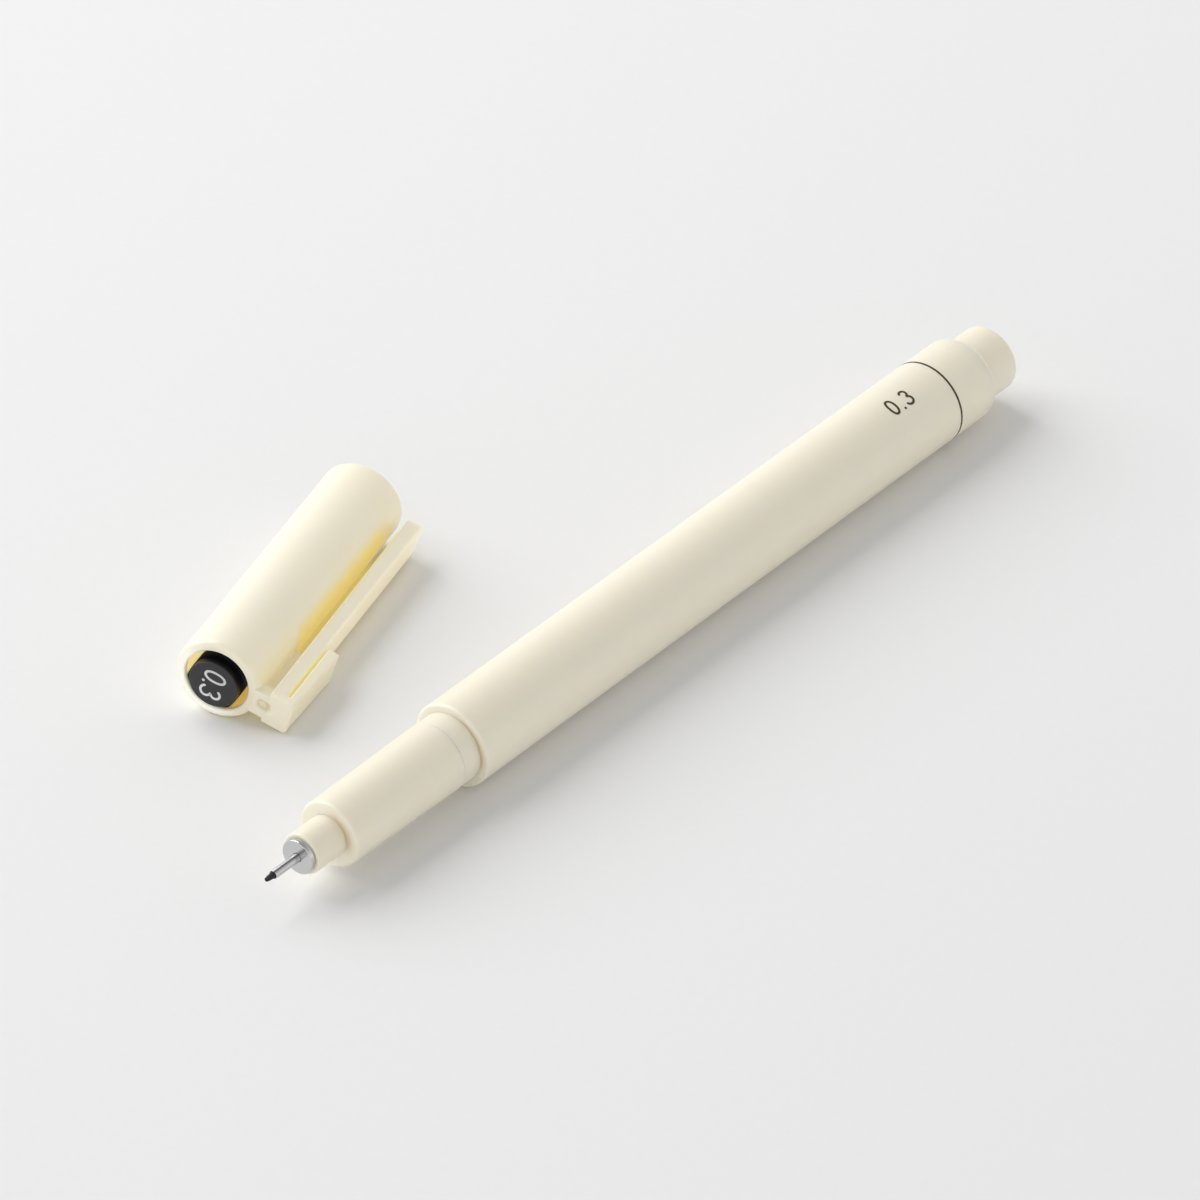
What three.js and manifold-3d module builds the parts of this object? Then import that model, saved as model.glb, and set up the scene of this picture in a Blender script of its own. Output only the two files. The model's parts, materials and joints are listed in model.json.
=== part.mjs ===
// A fineliner pen with its cap off: the pen and the cap lie side by side on a flat surface.
// Millimetres, +Z up. The pen's axis runs along +X from the point to the tail.
import * as THREE from "three";
import { mergeVertices } from "three/addons/utils/BufferGeometryUtils.js";
import Module from "manifold-3d";

const wasm = await Module();
wasm.setup();

// Shared fits
const PRESS_GAP = 0.05; // radial gap of pieces that are pressed together
const SEAM_GAP = 0.05; // gap that shows as a seam where two shoulders meet
const SLIDE_GAP = 0.1; // radial gap of the cap over the pen's front
const CUT_GAP = 0.3; // gap of the clip to the bridge that carries it
const ROUND_SIDES = 48; // sides of the large round pieces
const SMALL_SIDES = 24; // sides of the thin round pieces
const ARC_STEPS = 4; // steps of a small rounded edge

// Pen: stations along its axis, counted from the tip of the point
const POINT_LENGTH = 1.25; // bare point in front of its tube
const TUBE_LENGTH = 4.07; // tube in front of the ferrule
const FERRULE_THICKNESS = 0.7;
const NOSE_LENGTH = 4.65;
const GRIP_LENGTH = 18.38;
const COLLAR_LENGTH = 2.75;
const BARREL_LENGTH = 93.1;
const TAIL_SHOULDER_LENGTH = 1.35;
const TAIL_STUB_LENGTH = 4.85;

// Pen: radii and edges
const LINE_WIDTH = 0.3; // width of the line that the point draws
const POINT_EDGE = 0.1; // rounding of the point's writing end
const POINT_RADIUS = 0.38;
const TUBE_RADIUS = 0.54;
const TUBE_WALL = 0.11;
const FERRULE_RADIUS = 2.15;
const FERRULE_EDGE = 0.12;
const FERRULE_STEM_RADIUS = 1.1;
const FERRULE_STEM_LENGTH = 4;
const NOSE_RADIUS = 2.55;
const NOSE_EDGE = 0.2;
const GRIP_FRONT_RADIUS = 4.15;
const GRIP_REAR_RADIUS = 4.33;
const GRIP_EDGE = 0.35;
const GRIP_WALL = 0.95; // wall round the nib holder's flange
const COLLAR_RADIUS = 4.3;
const COLLAR_EDGE = 0.08;
const BARREL_RADIUS = 5.25;
const BARREL_WALL = 1.05;
const BARREL_LIP = 0.3; // rounding of the front lip
const BARREL_REAR_EDGE = 0.15;
const TAIL_FLANGE_RADIUS = 5.18;
const TAIL_STUB_RADIUS = 4.15;
const TAIL_STUB_EDGE = 0.55;

// Pen: hidden stems and spigots
const GRIP_FRONT_WALL = 3.1; // thickness of the grip's front wall
const GRIP_SPIGOT_WALL = 0.6;
const COLLAR_WALL = 0.6;
const HOLDER_FLANGE_LENGTH = 7;
const HOLDER_TUBE_LENGTH = 18;
const HOLDER_TUBE_WALL = 1;
const POINT_REAR_REACH = 2.4; // how far the point reaches into the wick
const TUBE_REAR_REACH = 1.2; // how far the tube reaches past the ferrule's stem
const WICK_RADIUS = 1.15;
const WICK_REACH = 6.5; // how far the wick reaches into the reservoir
const HOLDER_END_GAP = 0.6; // free space between the holder's tube and the reservoir
const COLLAR_END_GAP = 1; // free space between the collar's spigot and the reservoir
const GRIP_SPIGOT_STEP = 1.1; // how much further the collar's spigot reaches than the grip's
const RESERVOIR_GAP = 0.25; // air space round the wrapped reservoir
const WRAP_THICKNESS = 0.15;
const TAIL_SPIGOT_LENGTH = 7;
const TAIL_WALL = 0.95;
const TAIL_END_WALL = 3;
const TAIL_STOP_RADIUS = 3;
const TAIL_STOP_WALL = 0.8;
const TAIL_STOP_LENGTH = 4.7; // how far the stop stands out of the tail plug's spigot
const TAIL_STOP_GAP = 0.3; // gap between the stop and the reservoir

// Cap: its axis runs from the closed end to the mouth, with the clip on its +Z side until it is laid down
const CAP_LENGTH = 38.6;
const CAP_RADIUS = 5.15;
const CAP_END_EDGE = 0.3;
const CAP_MOUTH_EDGE = 0.2;
const CAP_END_BORE = 3.95;
const CAP_END_BORE_DEPTH = 6;
const PLUG_FACE_RADIUS = 2.92;
const PLUG_RISE = 0.9; // how far the plug's face stands out of the cap's end
const PLUG_FLAT_WIDTH = 6.3; // across the two flats that leave the vents
const PLUG_FLANGE_RADIUS = 4.3;
const PLUG_FLANGE_LENGTH = 1.15;
const PLUG_TURN = 14.2; // degrees that the plug's flats are turned from the clip
const CUP_DEPTH = 11.4;
const CUP_WALL = 0.78;
const CUP_GAP = 0.07; // radial gap of the sealing cup round the nose
const CUP_BOTTOM_GAP = 1.5; // free space in front of the point inside the closed cap

// Clip and bridge: sizes across the cap's axis are heights above that axis
const CLIP_WIDTH = 4.5;
const CLIP_STAND_OFF = 1.25; // gap between the cap and the clip's root
const CLIP_TIP_STAND_OFF = 1; // gap between the cap and the clip's tip
const CLIP_ARM_THICKNESS = 1.7;
const CLIP_LENGTH = 37.7;
const CLIP_ROOT_LENGTH = 1.2; // solid root in front of the slit
const CLIP_SLIT = 0.35;
const TONGUE_THICKNESS = 1.05;
const TONGUE_LENGTH = 11.5;
const TONGUE_FLARE = 0.35; // how much thicker the tongue is at its end
const CLIP_EDGE = 0.12; // softened long edges
const CLIP_CORNER = 0.28; // corner rounding, seen from the side
const CLIP_TIP_ROUND = 0.9; // corner rounding of the arm's tip, seen from outside
const TONGUE_TIP_ROUND = 0.5;
const BRIDGE_WIDTH = 3.3;
const BRIDGE_THICKNESS = 1.6; // along the cap's axis
const WEB_LENGTH = 10.6;
const WEB_WIDTH = 1.95;
const BRIDGE_ROOT_DEPTH = 0.65; // how deep the bridge and web reach into the cap's wall
const POCKET_LENGTH = 2;
const POCKET_WIDTH = 1.45;
const POCKET_ROUND = 0.55;
const POCKET_DEPTH = 1.2;
const POCKET_INSET = 0.1; // how far the pocket cuts into the cap's wall

// Layout: where the cap lies beside the pen
const CAP_END_X = 24.9;
const CAP_END_Y = 28.6;
const CAP_ANGLE = 14.9; // degrees between the cap's axis and the pen's

const MATERIALS = {
  cream: { color: 0xeee6d0, roughness: 0.5, metalness: 0 },
  black: { color: 0x1c1c1e, roughness: 0.4, metalness: 0 },
  steel: { color: 0xb4b6b8, roughness: 0.3, metalness: 1 },
  ink: { color: 0x0b0b0d, roughness: 0.6, metalness: 0 },
  fibre: { color: 0x33343a, roughness: 0.9, metalness: 0 },
  film: { color: 0xd9dde0, roughness: 0.25, metalness: 0 },
};

function piece(name, geometry, finish) {
  const mesh = new THREE.Mesh(geometry, new THREE.MeshStandardMaterial(MATERIALS[finish]));
  mesh.name = name;
  return mesh;
}

// An arc round [station, radius] as a row of such points, from one angle to another in degrees.
function arc(station, radius, size, from, to) {
  const points = [];
  for (let i = 0; i <= ARC_STEPS; i++) {
    const angle = THREE.MathUtils.degToRad(from + ((to - from) * i) / ARC_STEPS);
    points.push([station + size * Math.cos(angle), radius + size * Math.sin(angle)]);
  }
  return points;
}

// A solid of revolution about +X from [station, radius] points that run along the outside from front to rear,
// and back along the bore where there is one.
function turned(profile, sides = ROUND_SIDES, hollow = false) {
  const points = profile.map(([station, radius]) => new THREE.Vector2(radius, station));
  if (hollow) points.push(points[0].clone());
  return new THREE.LatheGeometry(points, sides).rotateZ(-Math.PI / 2);
}

function toSolid(geometry) {
  const bare = geometry.clone();
  bare.deleteAttribute("normal");
  bare.deleteAttribute("uv");
  const merged = mergeVertices(bare, 1e-4);
  return new wasm.Manifold(
    new wasm.Mesh({
      numProp: 3,
      vertProperties: merged.attributes.position.array,
      triVerts: new Uint32Array(merged.index.array),
    }),
  );
}

function toGeometry(solid) {
  const mesh = solid.getMesh();
  const geometry = new THREE.BufferGeometry();
  geometry.setAttribute("position", new THREE.BufferAttribute(new Float32Array(mesh.vertProperties), 3));
  geometry.setIndex(new THREE.BufferAttribute(new Uint32Array(mesh.triVerts), 1));
  geometry.computeVertexNormals();
  return geometry;
}

// A box from its lowest corner to its highest one.
function block(low, high) {
  const size = high.map((v, i) => v - low[i]);
  const middle = high.map((v, i) => (v + low[i]) / 2);
  return new THREE.BoxGeometry(...size).translate(...middle);
}

// A flat outline in the XY plane with rounded corners, each corner being [x, y, rounding].
function roundedShape(corners) {
  const shape = new THREE.Shape();
  corners.forEach(([x, y, rounding], i) => {
    const corner = new THREE.Vector2(x, y);
    const towards = ([endX, endY]) => new THREE.Vector2(endX, endY).sub(corner).setLength(rounding);
    const before = towards(corners.at(i - 1)).add(corner);
    const after = towards(corners[(i + 1) % corners.length]).add(corner);
    if (i === 0) shape.moveTo(before.x, before.y);
    else shape.lineTo(before.x, before.y);
    shape.quadraticCurveTo(corner.x, corner.y, after.x, after.y);
  });
  shape.closePath();
  return shape;
}

function raised(shape, depth, edge = 0) {
  return new THREE.ExtrudeGeometry(shape, {
    depth: depth - 2 * edge,
    bevelEnabled: edge > 0,
    bevelSize: edge,
    bevelThickness: edge,
    bevelOffset: -edge,
    bevelSegments: 2,
    curveSegments: ARC_STEPS,
  }).translate(0, 0, edge);
}

// Stations that follow from the lengths
const ferruleFront = POINT_LENGTH + TUBE_LENGTH;
const noseFront = ferruleFront + FERRULE_THICKNESS + SEAM_GAP;
const gripFront = noseFront + NOSE_LENGTH;
const gripRear = gripFront + GRIP_LENGTH;
const collarFront = gripRear + SEAM_GAP;
const barrelFront = collarFront + COLLAR_LENGTH;
const barrelRear = barrelFront + BARREL_LENGTH;
const tailFront = barrelRear + SEAM_GAP;
const tailShoulder = tailFront + TAIL_SHOULDER_LENGTH;
const penEnd = tailShoulder + TAIL_STUB_LENGTH;
const stemRear = noseFront + FERRULE_STEM_LENGTH;
const tubeRear = stemRear + TUBE_REAR_REACH;
const wickFront = tubeRear + SEAM_GAP + PRESS_GAP;
const holderFlangeFront = gripFront + GRIP_FRONT_WALL + SEAM_GAP;
const holderFlangeRear = holderFlangeFront + HOLDER_FLANGE_LENGTH;
const holderRear = holderFlangeRear + HOLDER_TUBE_LENGTH;
const reservoirFront = holderRear + HOLDER_END_GAP;
const collarSpigotRear = reservoirFront - COLLAR_END_GAP;
const gripSpigotRear = collarSpigotRear - GRIP_SPIGOT_STEP;
const tailSpigotFront = barrelRear - TAIL_SPIGOT_LENGTH;
const tailStopFront = tailSpigotFront - TAIL_STOP_LENGTH;
const reservoirRear = tailStopFront - TAIL_STOP_GAP;

// Radii that follow from a fit
const barrelBore = BARREL_RADIUS - BARREL_WALL;
const collarSpigot = barrelBore - PRESS_GAP;
const collarBore = collarSpigot - COLLAR_WALL;
const gripSpigot = collarBore - PRESS_GAP;
const gripSpigotBore = gripSpigot - GRIP_SPIGOT_WALL;
const gripBore = Math.min(GRIP_FRONT_RADIUS - GRIP_WALL, gripSpigotBore);
const holderFlange = gripBore - PRESS_GAP;
const holderBore = WICK_RADIUS + PRESS_GAP;
const holderTube = holderBore + HOLDER_TUBE_WALL;
const tubeBore = TUBE_RADIUS - TUBE_WALL;
const tubeHole = TUBE_RADIUS + PRESS_GAP;
const wrapRadius = barrelBore - RESERVOIR_GAP;
const coreRadius = wrapRadius - WRAP_THICKNESS - PRESS_GAP;
const capBore = GRIP_REAR_RADIUS + SLIDE_GAP;
const cupBore = NOSE_RADIUS + CUP_GAP;

// Pen pieces

function barrel() {
  return turned(
    [
      ...arc(barrelFront + BARREL_LIP, BARREL_RADIUS - BARREL_LIP, BARREL_LIP, 180, 90),
      ...arc(barrelRear - BARREL_REAR_EDGE, BARREL_RADIUS - BARREL_REAR_EDGE, BARREL_REAR_EDGE, 90, 0),
      [barrelRear, barrelBore],
      [barrelFront, barrelBore],
    ],
    ROUND_SIDES,
    true,
  );
}

function tailPlug() {
  const drop = TAIL_FLANGE_RADIUS - TAIL_STUB_RADIUS;
  const curve = (TAIL_SHOULDER_LENGTH ** 2 + drop ** 2) / (2 * drop);
  const shoulderEnd = THREE.MathUtils.radToDeg(Math.acos(TAIL_SHOULDER_LENGTH / curve));
  const spigot = barrelBore - PRESS_GAP;
  const bore = spigot - TAIL_WALL;
  return turned([
    [penEnd - TAIL_END_WALL, 0],
    [penEnd - TAIL_END_WALL, bore],
    [tailSpigotFront + TAIL_WALL, bore],
    [tailSpigotFront + TAIL_WALL, TAIL_STOP_RADIUS - TAIL_STOP_WALL],
    [tailStopFront, TAIL_STOP_RADIUS - TAIL_STOP_WALL],
    [tailStopFront, TAIL_STOP_RADIUS],
    [tailSpigotFront, TAIL_STOP_RADIUS],
    [tailSpigotFront, spigot],
    [tailFront, spigot],
    ...arc(tailFront, TAIL_FLANGE_RADIUS - curve, curve, 90, shoulderEnd),
    ...arc(penEnd - TAIL_STUB_EDGE, TAIL_STUB_RADIUS - TAIL_STUB_EDGE, TAIL_STUB_EDGE, 90, 0),
    [penEnd, 0],
  ]);
}

function sectionCollar() {
  return turned(
    [
      ...arc(collarFront + COLLAR_EDGE, COLLAR_RADIUS - COLLAR_EDGE, COLLAR_EDGE, 180, 90),
      [barrelFront - SEAM_GAP, COLLAR_RADIUS],
      [barrelFront - SEAM_GAP, collarSpigot],
      [collarSpigotRear, collarSpigot],
      [collarSpigotRear, collarBore],
      [collarFront, collarBore],
    ],
    ROUND_SIDES,
    true,
  );
}

function gripSection() {
  const hole = NOSE_RADIUS + PRESS_GAP;
  return turned(
    [
      [gripFront, hole],
      ...arc(gripFront + GRIP_EDGE, GRIP_FRONT_RADIUS - GRIP_EDGE, GRIP_EDGE, 180, 90),
      [gripRear, GRIP_REAR_RADIUS],
      [gripRear, gripSpigot],
      [gripSpigotRear, gripSpigot],
      [gripSpigotRear, gripBore],
      [gripFront + GRIP_FRONT_WALL, gripBore],
      [gripFront + GRIP_FRONT_WALL, hole],
    ],
    ROUND_SIDES,
    true,
  );
}

function nibHolder() {
  const stemHole = FERRULE_STEM_RADIUS + PRESS_GAP;
  return turned(
    [
      [noseFront, stemHole],
      ...arc(noseFront + NOSE_EDGE, NOSE_RADIUS - NOSE_EDGE, NOSE_EDGE, 180, 90),
      [holderFlangeFront, NOSE_RADIUS],
      [holderFlangeFront, holderFlange],
      [holderFlangeRear, holderFlange],
      [holderFlangeRear, holderTube],
      [holderRear, holderTube],
      [holderRear, holderBore],
      [wickFront - PRESS_GAP, holderBore],
      [wickFront - PRESS_GAP, tubeHole],
      [stemRear + PRESS_GAP, tubeHole],
      [stemRear + PRESS_GAP, stemHole],
    ],
    ROUND_SIDES,
    true,
  );
}

function nibFerrule() {
  const discRear = ferruleFront + FERRULE_THICKNESS;
  const edge = FERRULE_EDGE;
  return turned(
    [
      [ferruleFront, tubeHole],
      ...arc(ferruleFront + edge, FERRULE_RADIUS - edge, edge, 180, 90),
      ...arc(discRear - edge, FERRULE_RADIUS - edge, edge, 90, 0),
      [discRear, FERRULE_STEM_RADIUS],
      [stemRear, FERRULE_STEM_RADIUS],
      [stemRear, tubeHole],
    ],
    ROUND_SIDES,
    true,
  );
}

function nibTube() {
  return turned(
    [
      [POINT_LENGTH, tubeBore],
      [POINT_LENGTH, TUBE_RADIUS],
      [tubeRear, TUBE_RADIUS],
      [tubeRear, tubeBore],
    ],
    SMALL_SIDES,
    true,
  );
}

function nibPoint() {
  return turned(
    [
      [0, 0],
      ...arc(POINT_EDGE, LINE_WIDTH / 2, POINT_EDGE, 180, 90),
      [POINT_LENGTH * 0.75, POINT_RADIUS],
      [wickFront + POINT_REAR_REACH, POINT_RADIUS],
      [wickFront + POINT_REAR_REACH, 0],
    ],
    SMALL_SIDES,
  );
}

function feedWick() {
  const hole = POINT_RADIUS + PRESS_GAP;
  return turned(
    [
      [wickFront + POINT_REAR_REACH + PRESS_GAP, 0],
      [wickFront + POINT_REAR_REACH + PRESS_GAP, hole],
      [wickFront, hole],
      [wickFront, WICK_RADIUS],
      [reservoirFront + WICK_REACH, WICK_RADIUS],
      [reservoirFront + WICK_REACH, 0],
    ],
    SMALL_SIDES,
  );
}

function inkReservoir() {
  const hole = WICK_RADIUS + PRESS_GAP;
  const holeDepth = WICK_REACH + PRESS_GAP;
  return turned([
    [reservoirFront + holeDepth, 0],
    [reservoirFront + holeDepth, hole],
    [reservoirFront, hole],
    [reservoirFront, coreRadius],
    [reservoirRear, coreRadius],
    [reservoirRear, 0],
  ]);
}

function reservoirWrap() {
  return turned(
    [
      [reservoirFront, wrapRadius],
      [reservoirRear, wrapRadius],
      [reservoirRear, wrapRadius - WRAP_THICKNESS],
      [reservoirFront, wrapRadius - WRAP_THICKNESS],
    ],
    ROUND_SIDES,
    true,
  );
}

// Cap pieces: stations along +X from the closed end, heights along +Z, and widths along Y

const clipInner = CAP_RADIUS + CLIP_STAND_OFF;
const clipTipInner = CAP_RADIUS + CLIP_TIP_STAND_OFF;
const armOuter = clipInner + CLIP_ARM_THICKNESS;
const tongueInner = armOuter + CLIP_SLIT;
const tongueOuter = tongueInner + TONGUE_THICKNESS;
const bridgeRoot = CAP_RADIUS - BRIDGE_ROOT_DEPTH;
const bridgeTop = clipInner - CUT_GAP;

// The blind pocket in the cap's end, which reaches from the cap's wall into the clip's root.
function bridgePocket() {
  const low = CAP_RADIUS - POCKET_INSET;
  const half = POCKET_WIDTH / 2;
  const outline = roundedShape([
    [-half, low, POCKET_ROUND],
    [half, low, POCKET_ROUND],
    [half, low + POCKET_LENGTH, POCKET_ROUND],
    [-half, low + POCKET_LENGTH, POCKET_ROUND],
  ]);
  const slot = raised(outline, 2 * POCKET_DEPTH).translate(0, 0, -POCKET_DEPTH);
  return toSolid(slot.rotateX(Math.PI / 2).rotateZ(Math.PI / 2));
}

function capShell() {
  const tube = turned(
    [
      ...arc(CAP_END_EDGE, CAP_RADIUS - CAP_END_EDGE, CAP_END_EDGE, 180, 90),
      ...arc(CAP_LENGTH - CAP_MOUTH_EDGE, CAP_RADIUS - CAP_MOUTH_EDGE, CAP_MOUTH_EDGE, 90, 0),
      [CAP_LENGTH, capBore],
      [CAP_END_BORE_DEPTH, capBore],
      [CAP_END_BORE_DEPTH, CAP_END_BORE],
      [0, CAP_END_BORE],
    ],
    ROUND_SIDES,
    true,
  );
  const half = BRIDGE_WIDTH / 2;
  const bridge = block([0, -half, bridgeRoot], [BRIDGE_THICKNESS, half, bridgeTop]);
  const web = block([BRIDGE_THICKNESS / 2, -half, bridgeRoot], [WEB_LENGTH, WEB_WIDTH - half, bridgeTop]);
  return toGeometry(toSolid(tube).add(toSolid(bridge)).add(toSolid(web)).subtract(bridgePocket()));
}

function innerCap() {
  const plugRadius = CAP_END_BORE - PRESS_GAP;
  const flangeFront = CAP_END_BORE_DEPTH + SEAM_GAP;
  const flangeRear = flangeFront + PLUG_FLANGE_LENGTH;
  const cupBottom = CAP_LENGTH - barrelFront - CUP_BOTTOM_GAP;
  const cupRear = cupBottom + CUP_DEPTH;
  const body = turned([
    [-PLUG_RISE, 0],
    [-PLUG_RISE, PLUG_FACE_RADIUS],
    [0, plugRadius],
    [flangeFront, plugRadius],
    [flangeFront, PLUG_FLANGE_RADIUS],
    [flangeRear, PLUG_FLANGE_RADIUS],
    [flangeRear, cupBore + CUP_WALL],
    [cupRear, cupBore + CUP_WALL],
    [cupRear, cupBore],
    [cupBottom, cupBore],
    [cupBottom, 0],
  ]);
  const reach = CAP_LENGTH;
  const flats = block([-reach, -reach, -PLUG_FLAT_WIDTH / 2], [reach, reach, PLUG_FLAT_WIDTH / 2]);
  return toGeometry(toSolid(body).intersect(toSolid(flats)));
}

// The clip's outline seen from outside: square at the root, with rounded corners at the far end.
function leafPlan(length, tipRound) {
  const half = CLIP_WIDTH / 2;
  return roundedShape([
    [-CLIP_CORNER, -half, CLIP_CORNER / 2],
    [length, -half, tipRound],
    [length, half, tipRound],
    [-CLIP_CORNER, half, CLIP_CORNER / 2],
  ]);
}

function capClip() {
  const side = roundedShape([
    [0, clipInner, CLIP_CORNER],
    [CLIP_LENGTH, clipTipInner, CLIP_CORNER],
    [CLIP_LENGTH, armOuter, CLIP_CORNER],
    [CLIP_ROOT_LENGTH, armOuter, CLIP_EDGE],
    [CLIP_ROOT_LENGTH, tongueInner, CLIP_EDGE],
    [TONGUE_LENGTH, tongueInner, CLIP_CORNER],
    [TONGUE_LENGTH, tongueOuter + TONGUE_FLARE, CLIP_CORNER],
    [0, tongueOuter, CLIP_CORNER],
  ]);
  const leaves = raised(side, CLIP_WIDTH, CLIP_EDGE).rotateX(Math.PI / 2).translate(0, CLIP_WIDTH / 2, 0);
  const slitMiddle = armOuter + CLIP_SLIT / 2;
  const armTrim = raised(leafPlan(CLIP_LENGTH, CLIP_TIP_ROUND), slitMiddle);
  const tongueTrim = raised(leafPlan(TONGUE_LENGTH, TONGUE_TIP_ROUND), slitMiddle);
  const trim = toSolid(armTrim).add(toSolid(tongueTrim.translate(0, 0, slitMiddle)));
  return toGeometry(toSolid(leaves).intersect(trim).subtract(bridgePocket()));
}

// Assembly

function pen() {
  const group = new THREE.Group();
  group.add(
    piece("barrel", barrel(), "cream"),
    piece("tail_plug", tailPlug(), "cream"),
    piece("section_collar", sectionCollar(), "cream"),
    piece("grip_section", gripSection(), "cream"),
    piece("nib_holder", nibHolder(), "cream"),
    piece("nib_ferrule", nibFerrule(), "steel"),
    piece("nib_tube", nibTube(), "steel"),
    piece("nib_point", nibPoint(), "ink"),
    piece("feed_wick", feedWick(), "fibre"),
    piece("ink_reservoir", inkReservoir(), "fibre"),
    piece("reservoir_wrap", reservoirWrap(), "film"),
  );
  group.position.z = BARREL_RADIUS;
  return group;
}

// The roll about the cap's axis that lays the outer edge of the tongue on the surface.
function restingRoll() {
  const half = CLIP_WIDTH / 2;
  const outer = tongueOuter + TONGUE_FLARE;
  return Math.acos(-CAP_RADIUS / Math.hypot(outer, half)) - Math.atan2(half, outer);
}

function cap() {
  const plug = piece("inner_cap", innerCap(), "black");
  plug.rotation.x = THREE.MathUtils.degToRad(PLUG_TURN);
  const group = new THREE.Group();
  group.add(piece("cap_shell", capShell(), "cream"), plug, piece("cap_clip", capClip(), "cream"));
  group.rotation.set(restingRoll(), 0, THREE.MathUtils.degToRad(CAP_ANGLE), "ZYX");
  group.position.set(CAP_END_X, CAP_END_Y, CAP_RADIUS);
  return group;
}

// The origin is the middle of the layout, on the surface that it lies on.
const fineliner = new THREE.Group();
fineliner.add(pen(), cap());
const bounds = new THREE.Box3().setFromObject(fineliner, true);
const centre = bounds.getCenter(new THREE.Vector3());
for (const part of fineliner.children) part.position.sub(new THREE.Vector3(centre.x, centre.y, bounds.min.z));

export default fineliner;
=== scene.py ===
"""Looks for the fineliner and its cap: finer meshes, materials, printed marks, the studio and the camera."""

import json
import math

import bmesh
import bpy
from bpy.props import FloatProperty, FloatVectorProperty, IntProperty, PointerProperty
from bpy.types import Operator, Panel, PropertyGroup
from mathutils import Matrix, Vector


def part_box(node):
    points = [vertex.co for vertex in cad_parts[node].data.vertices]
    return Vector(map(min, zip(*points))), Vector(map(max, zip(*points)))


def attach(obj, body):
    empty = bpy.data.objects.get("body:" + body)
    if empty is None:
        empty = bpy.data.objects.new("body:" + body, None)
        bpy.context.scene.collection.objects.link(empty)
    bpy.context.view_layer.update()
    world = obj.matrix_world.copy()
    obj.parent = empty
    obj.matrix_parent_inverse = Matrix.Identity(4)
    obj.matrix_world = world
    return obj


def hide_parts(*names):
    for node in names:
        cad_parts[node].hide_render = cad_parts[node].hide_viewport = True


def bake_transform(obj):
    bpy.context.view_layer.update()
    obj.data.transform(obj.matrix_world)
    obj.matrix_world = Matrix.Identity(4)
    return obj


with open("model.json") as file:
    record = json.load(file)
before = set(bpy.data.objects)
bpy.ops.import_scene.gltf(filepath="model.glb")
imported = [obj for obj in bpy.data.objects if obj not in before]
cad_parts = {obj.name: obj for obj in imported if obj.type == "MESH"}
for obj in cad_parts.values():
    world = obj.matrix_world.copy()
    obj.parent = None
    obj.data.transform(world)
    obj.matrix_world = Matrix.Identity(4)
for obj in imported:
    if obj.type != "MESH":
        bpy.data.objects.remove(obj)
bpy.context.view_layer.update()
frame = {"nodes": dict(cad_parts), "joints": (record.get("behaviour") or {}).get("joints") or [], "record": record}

bl_info = {
    "name": "Fineliner looks",
    "version": (1, 0, 0),
    "blender": (4, 5, 0),
    "location": "3D View > Sidebar > Fineliner",
    "description": "Builds the visible pieces of a fineliner and its cap on their packed solids",
    "category": "Object",
}

MM = 0.001  # a millimetre in Blender's metres
SHARP_TURN = 32  # degrees between two faces above which their edge stays sharp

# The blind pocket in the bridge's end face, in the cap's own frame
POCKET_LOW = 5.05 * MM
POCKET_HIGH = 7.05 * MM
POCKET_WIDTH = 1.45 * MM
POCKET_ROUNDING = 0.68 * MM
# How far the pocket's wall is drawn in at each depth, in millimetres
POCKET_TAPER = (
    (-0.5, -0.15),
    (0.0, -0.12),
    (0.06, -0.02),
    (0.16, 0.07),
    (0.28, 0.15),
    (0.4, 0.24),
    (0.5, 0.33),
    (0.56, 0.42),
)


# Where the pen and the cap lie


def pen_place():
    """The pen's own frame: its origin is the tip of the point and +X is its axis."""
    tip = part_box("nib_point")[0]
    low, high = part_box("barrel")
    return Matrix.Translation((tip.x, (low.y + high.y) / 2, (low.z + high.z) / 2))


def cap_place():
    """The cap's own frame: its origin is the middle of the closed end, +X its axis, and the clip is on +Z."""
    record = frame["record"]
    rim = next(m for m in record["mounts"] if m["name"] == "cap_mouth_rim")
    flex = next(j for j in frame["joints"] if j["name"] == "clip_flex")
    axis = Vector(rim["axis"]).normalized()
    across = -Vector(flex["axis"]).normalized()
    outward = axis.cross(across)
    sizes = bpy.context.scene.fineliner_cap
    mouth = Vector((rim["pos_m"][0], rim["pos_m"][1], sizes.radius))
    place = Matrix((axis, across, outward)).transposed().to_4x4()
    place.translation = mouth - axis * sizes.length
    return place


def stations(node):
    """The front and rear stations of a pen node along the pen's axis."""
    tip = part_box("nib_point")[0].x
    low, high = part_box(node)
    return low.x - tip, high.x - tip


def half_height(node):
    """Half of a node's height, which is the outer radius of a round piece of the pen."""
    low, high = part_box(node)
    return (high.z - low.z) / 2


# Mesh helpers


def arc(station, radius, size, start, end, steps=8):
    """A row of (station, radius) points on an arc round a centre, from one angle to another in degrees."""
    turns = [math.radians(start + (end - start) * i / steps) for i in range(steps + 1)]
    return [(station + size * math.cos(turn), radius + size * math.sin(turn)) for turn in turns]


def mesh_object(name, mesh_data, sharp=SHARP_TURN):
    """An object from a bmesh, with outward faces and smooth shading but for the sharp edges."""
    bmesh.ops.recalc_face_normals(mesh_data, faces=mesh_data.faces)
    mesh = bpy.data.meshes.new(name)
    mesh_data.to_mesh(mesh)
    mesh_data.free()
    shade(mesh, sharp)
    piece = bpy.data.objects.new(name, mesh)
    bpy.context.scene.collection.objects.link(piece)
    return piece


def shade(mesh, sharp=SHARP_TURN):
    """Shades the mesh smooth, but for its edges that turn by more than that angle."""
    mesh.shade_smooth()
    mesh.set_sharp_from_angle(angle=math.radians(sharp))


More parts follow.
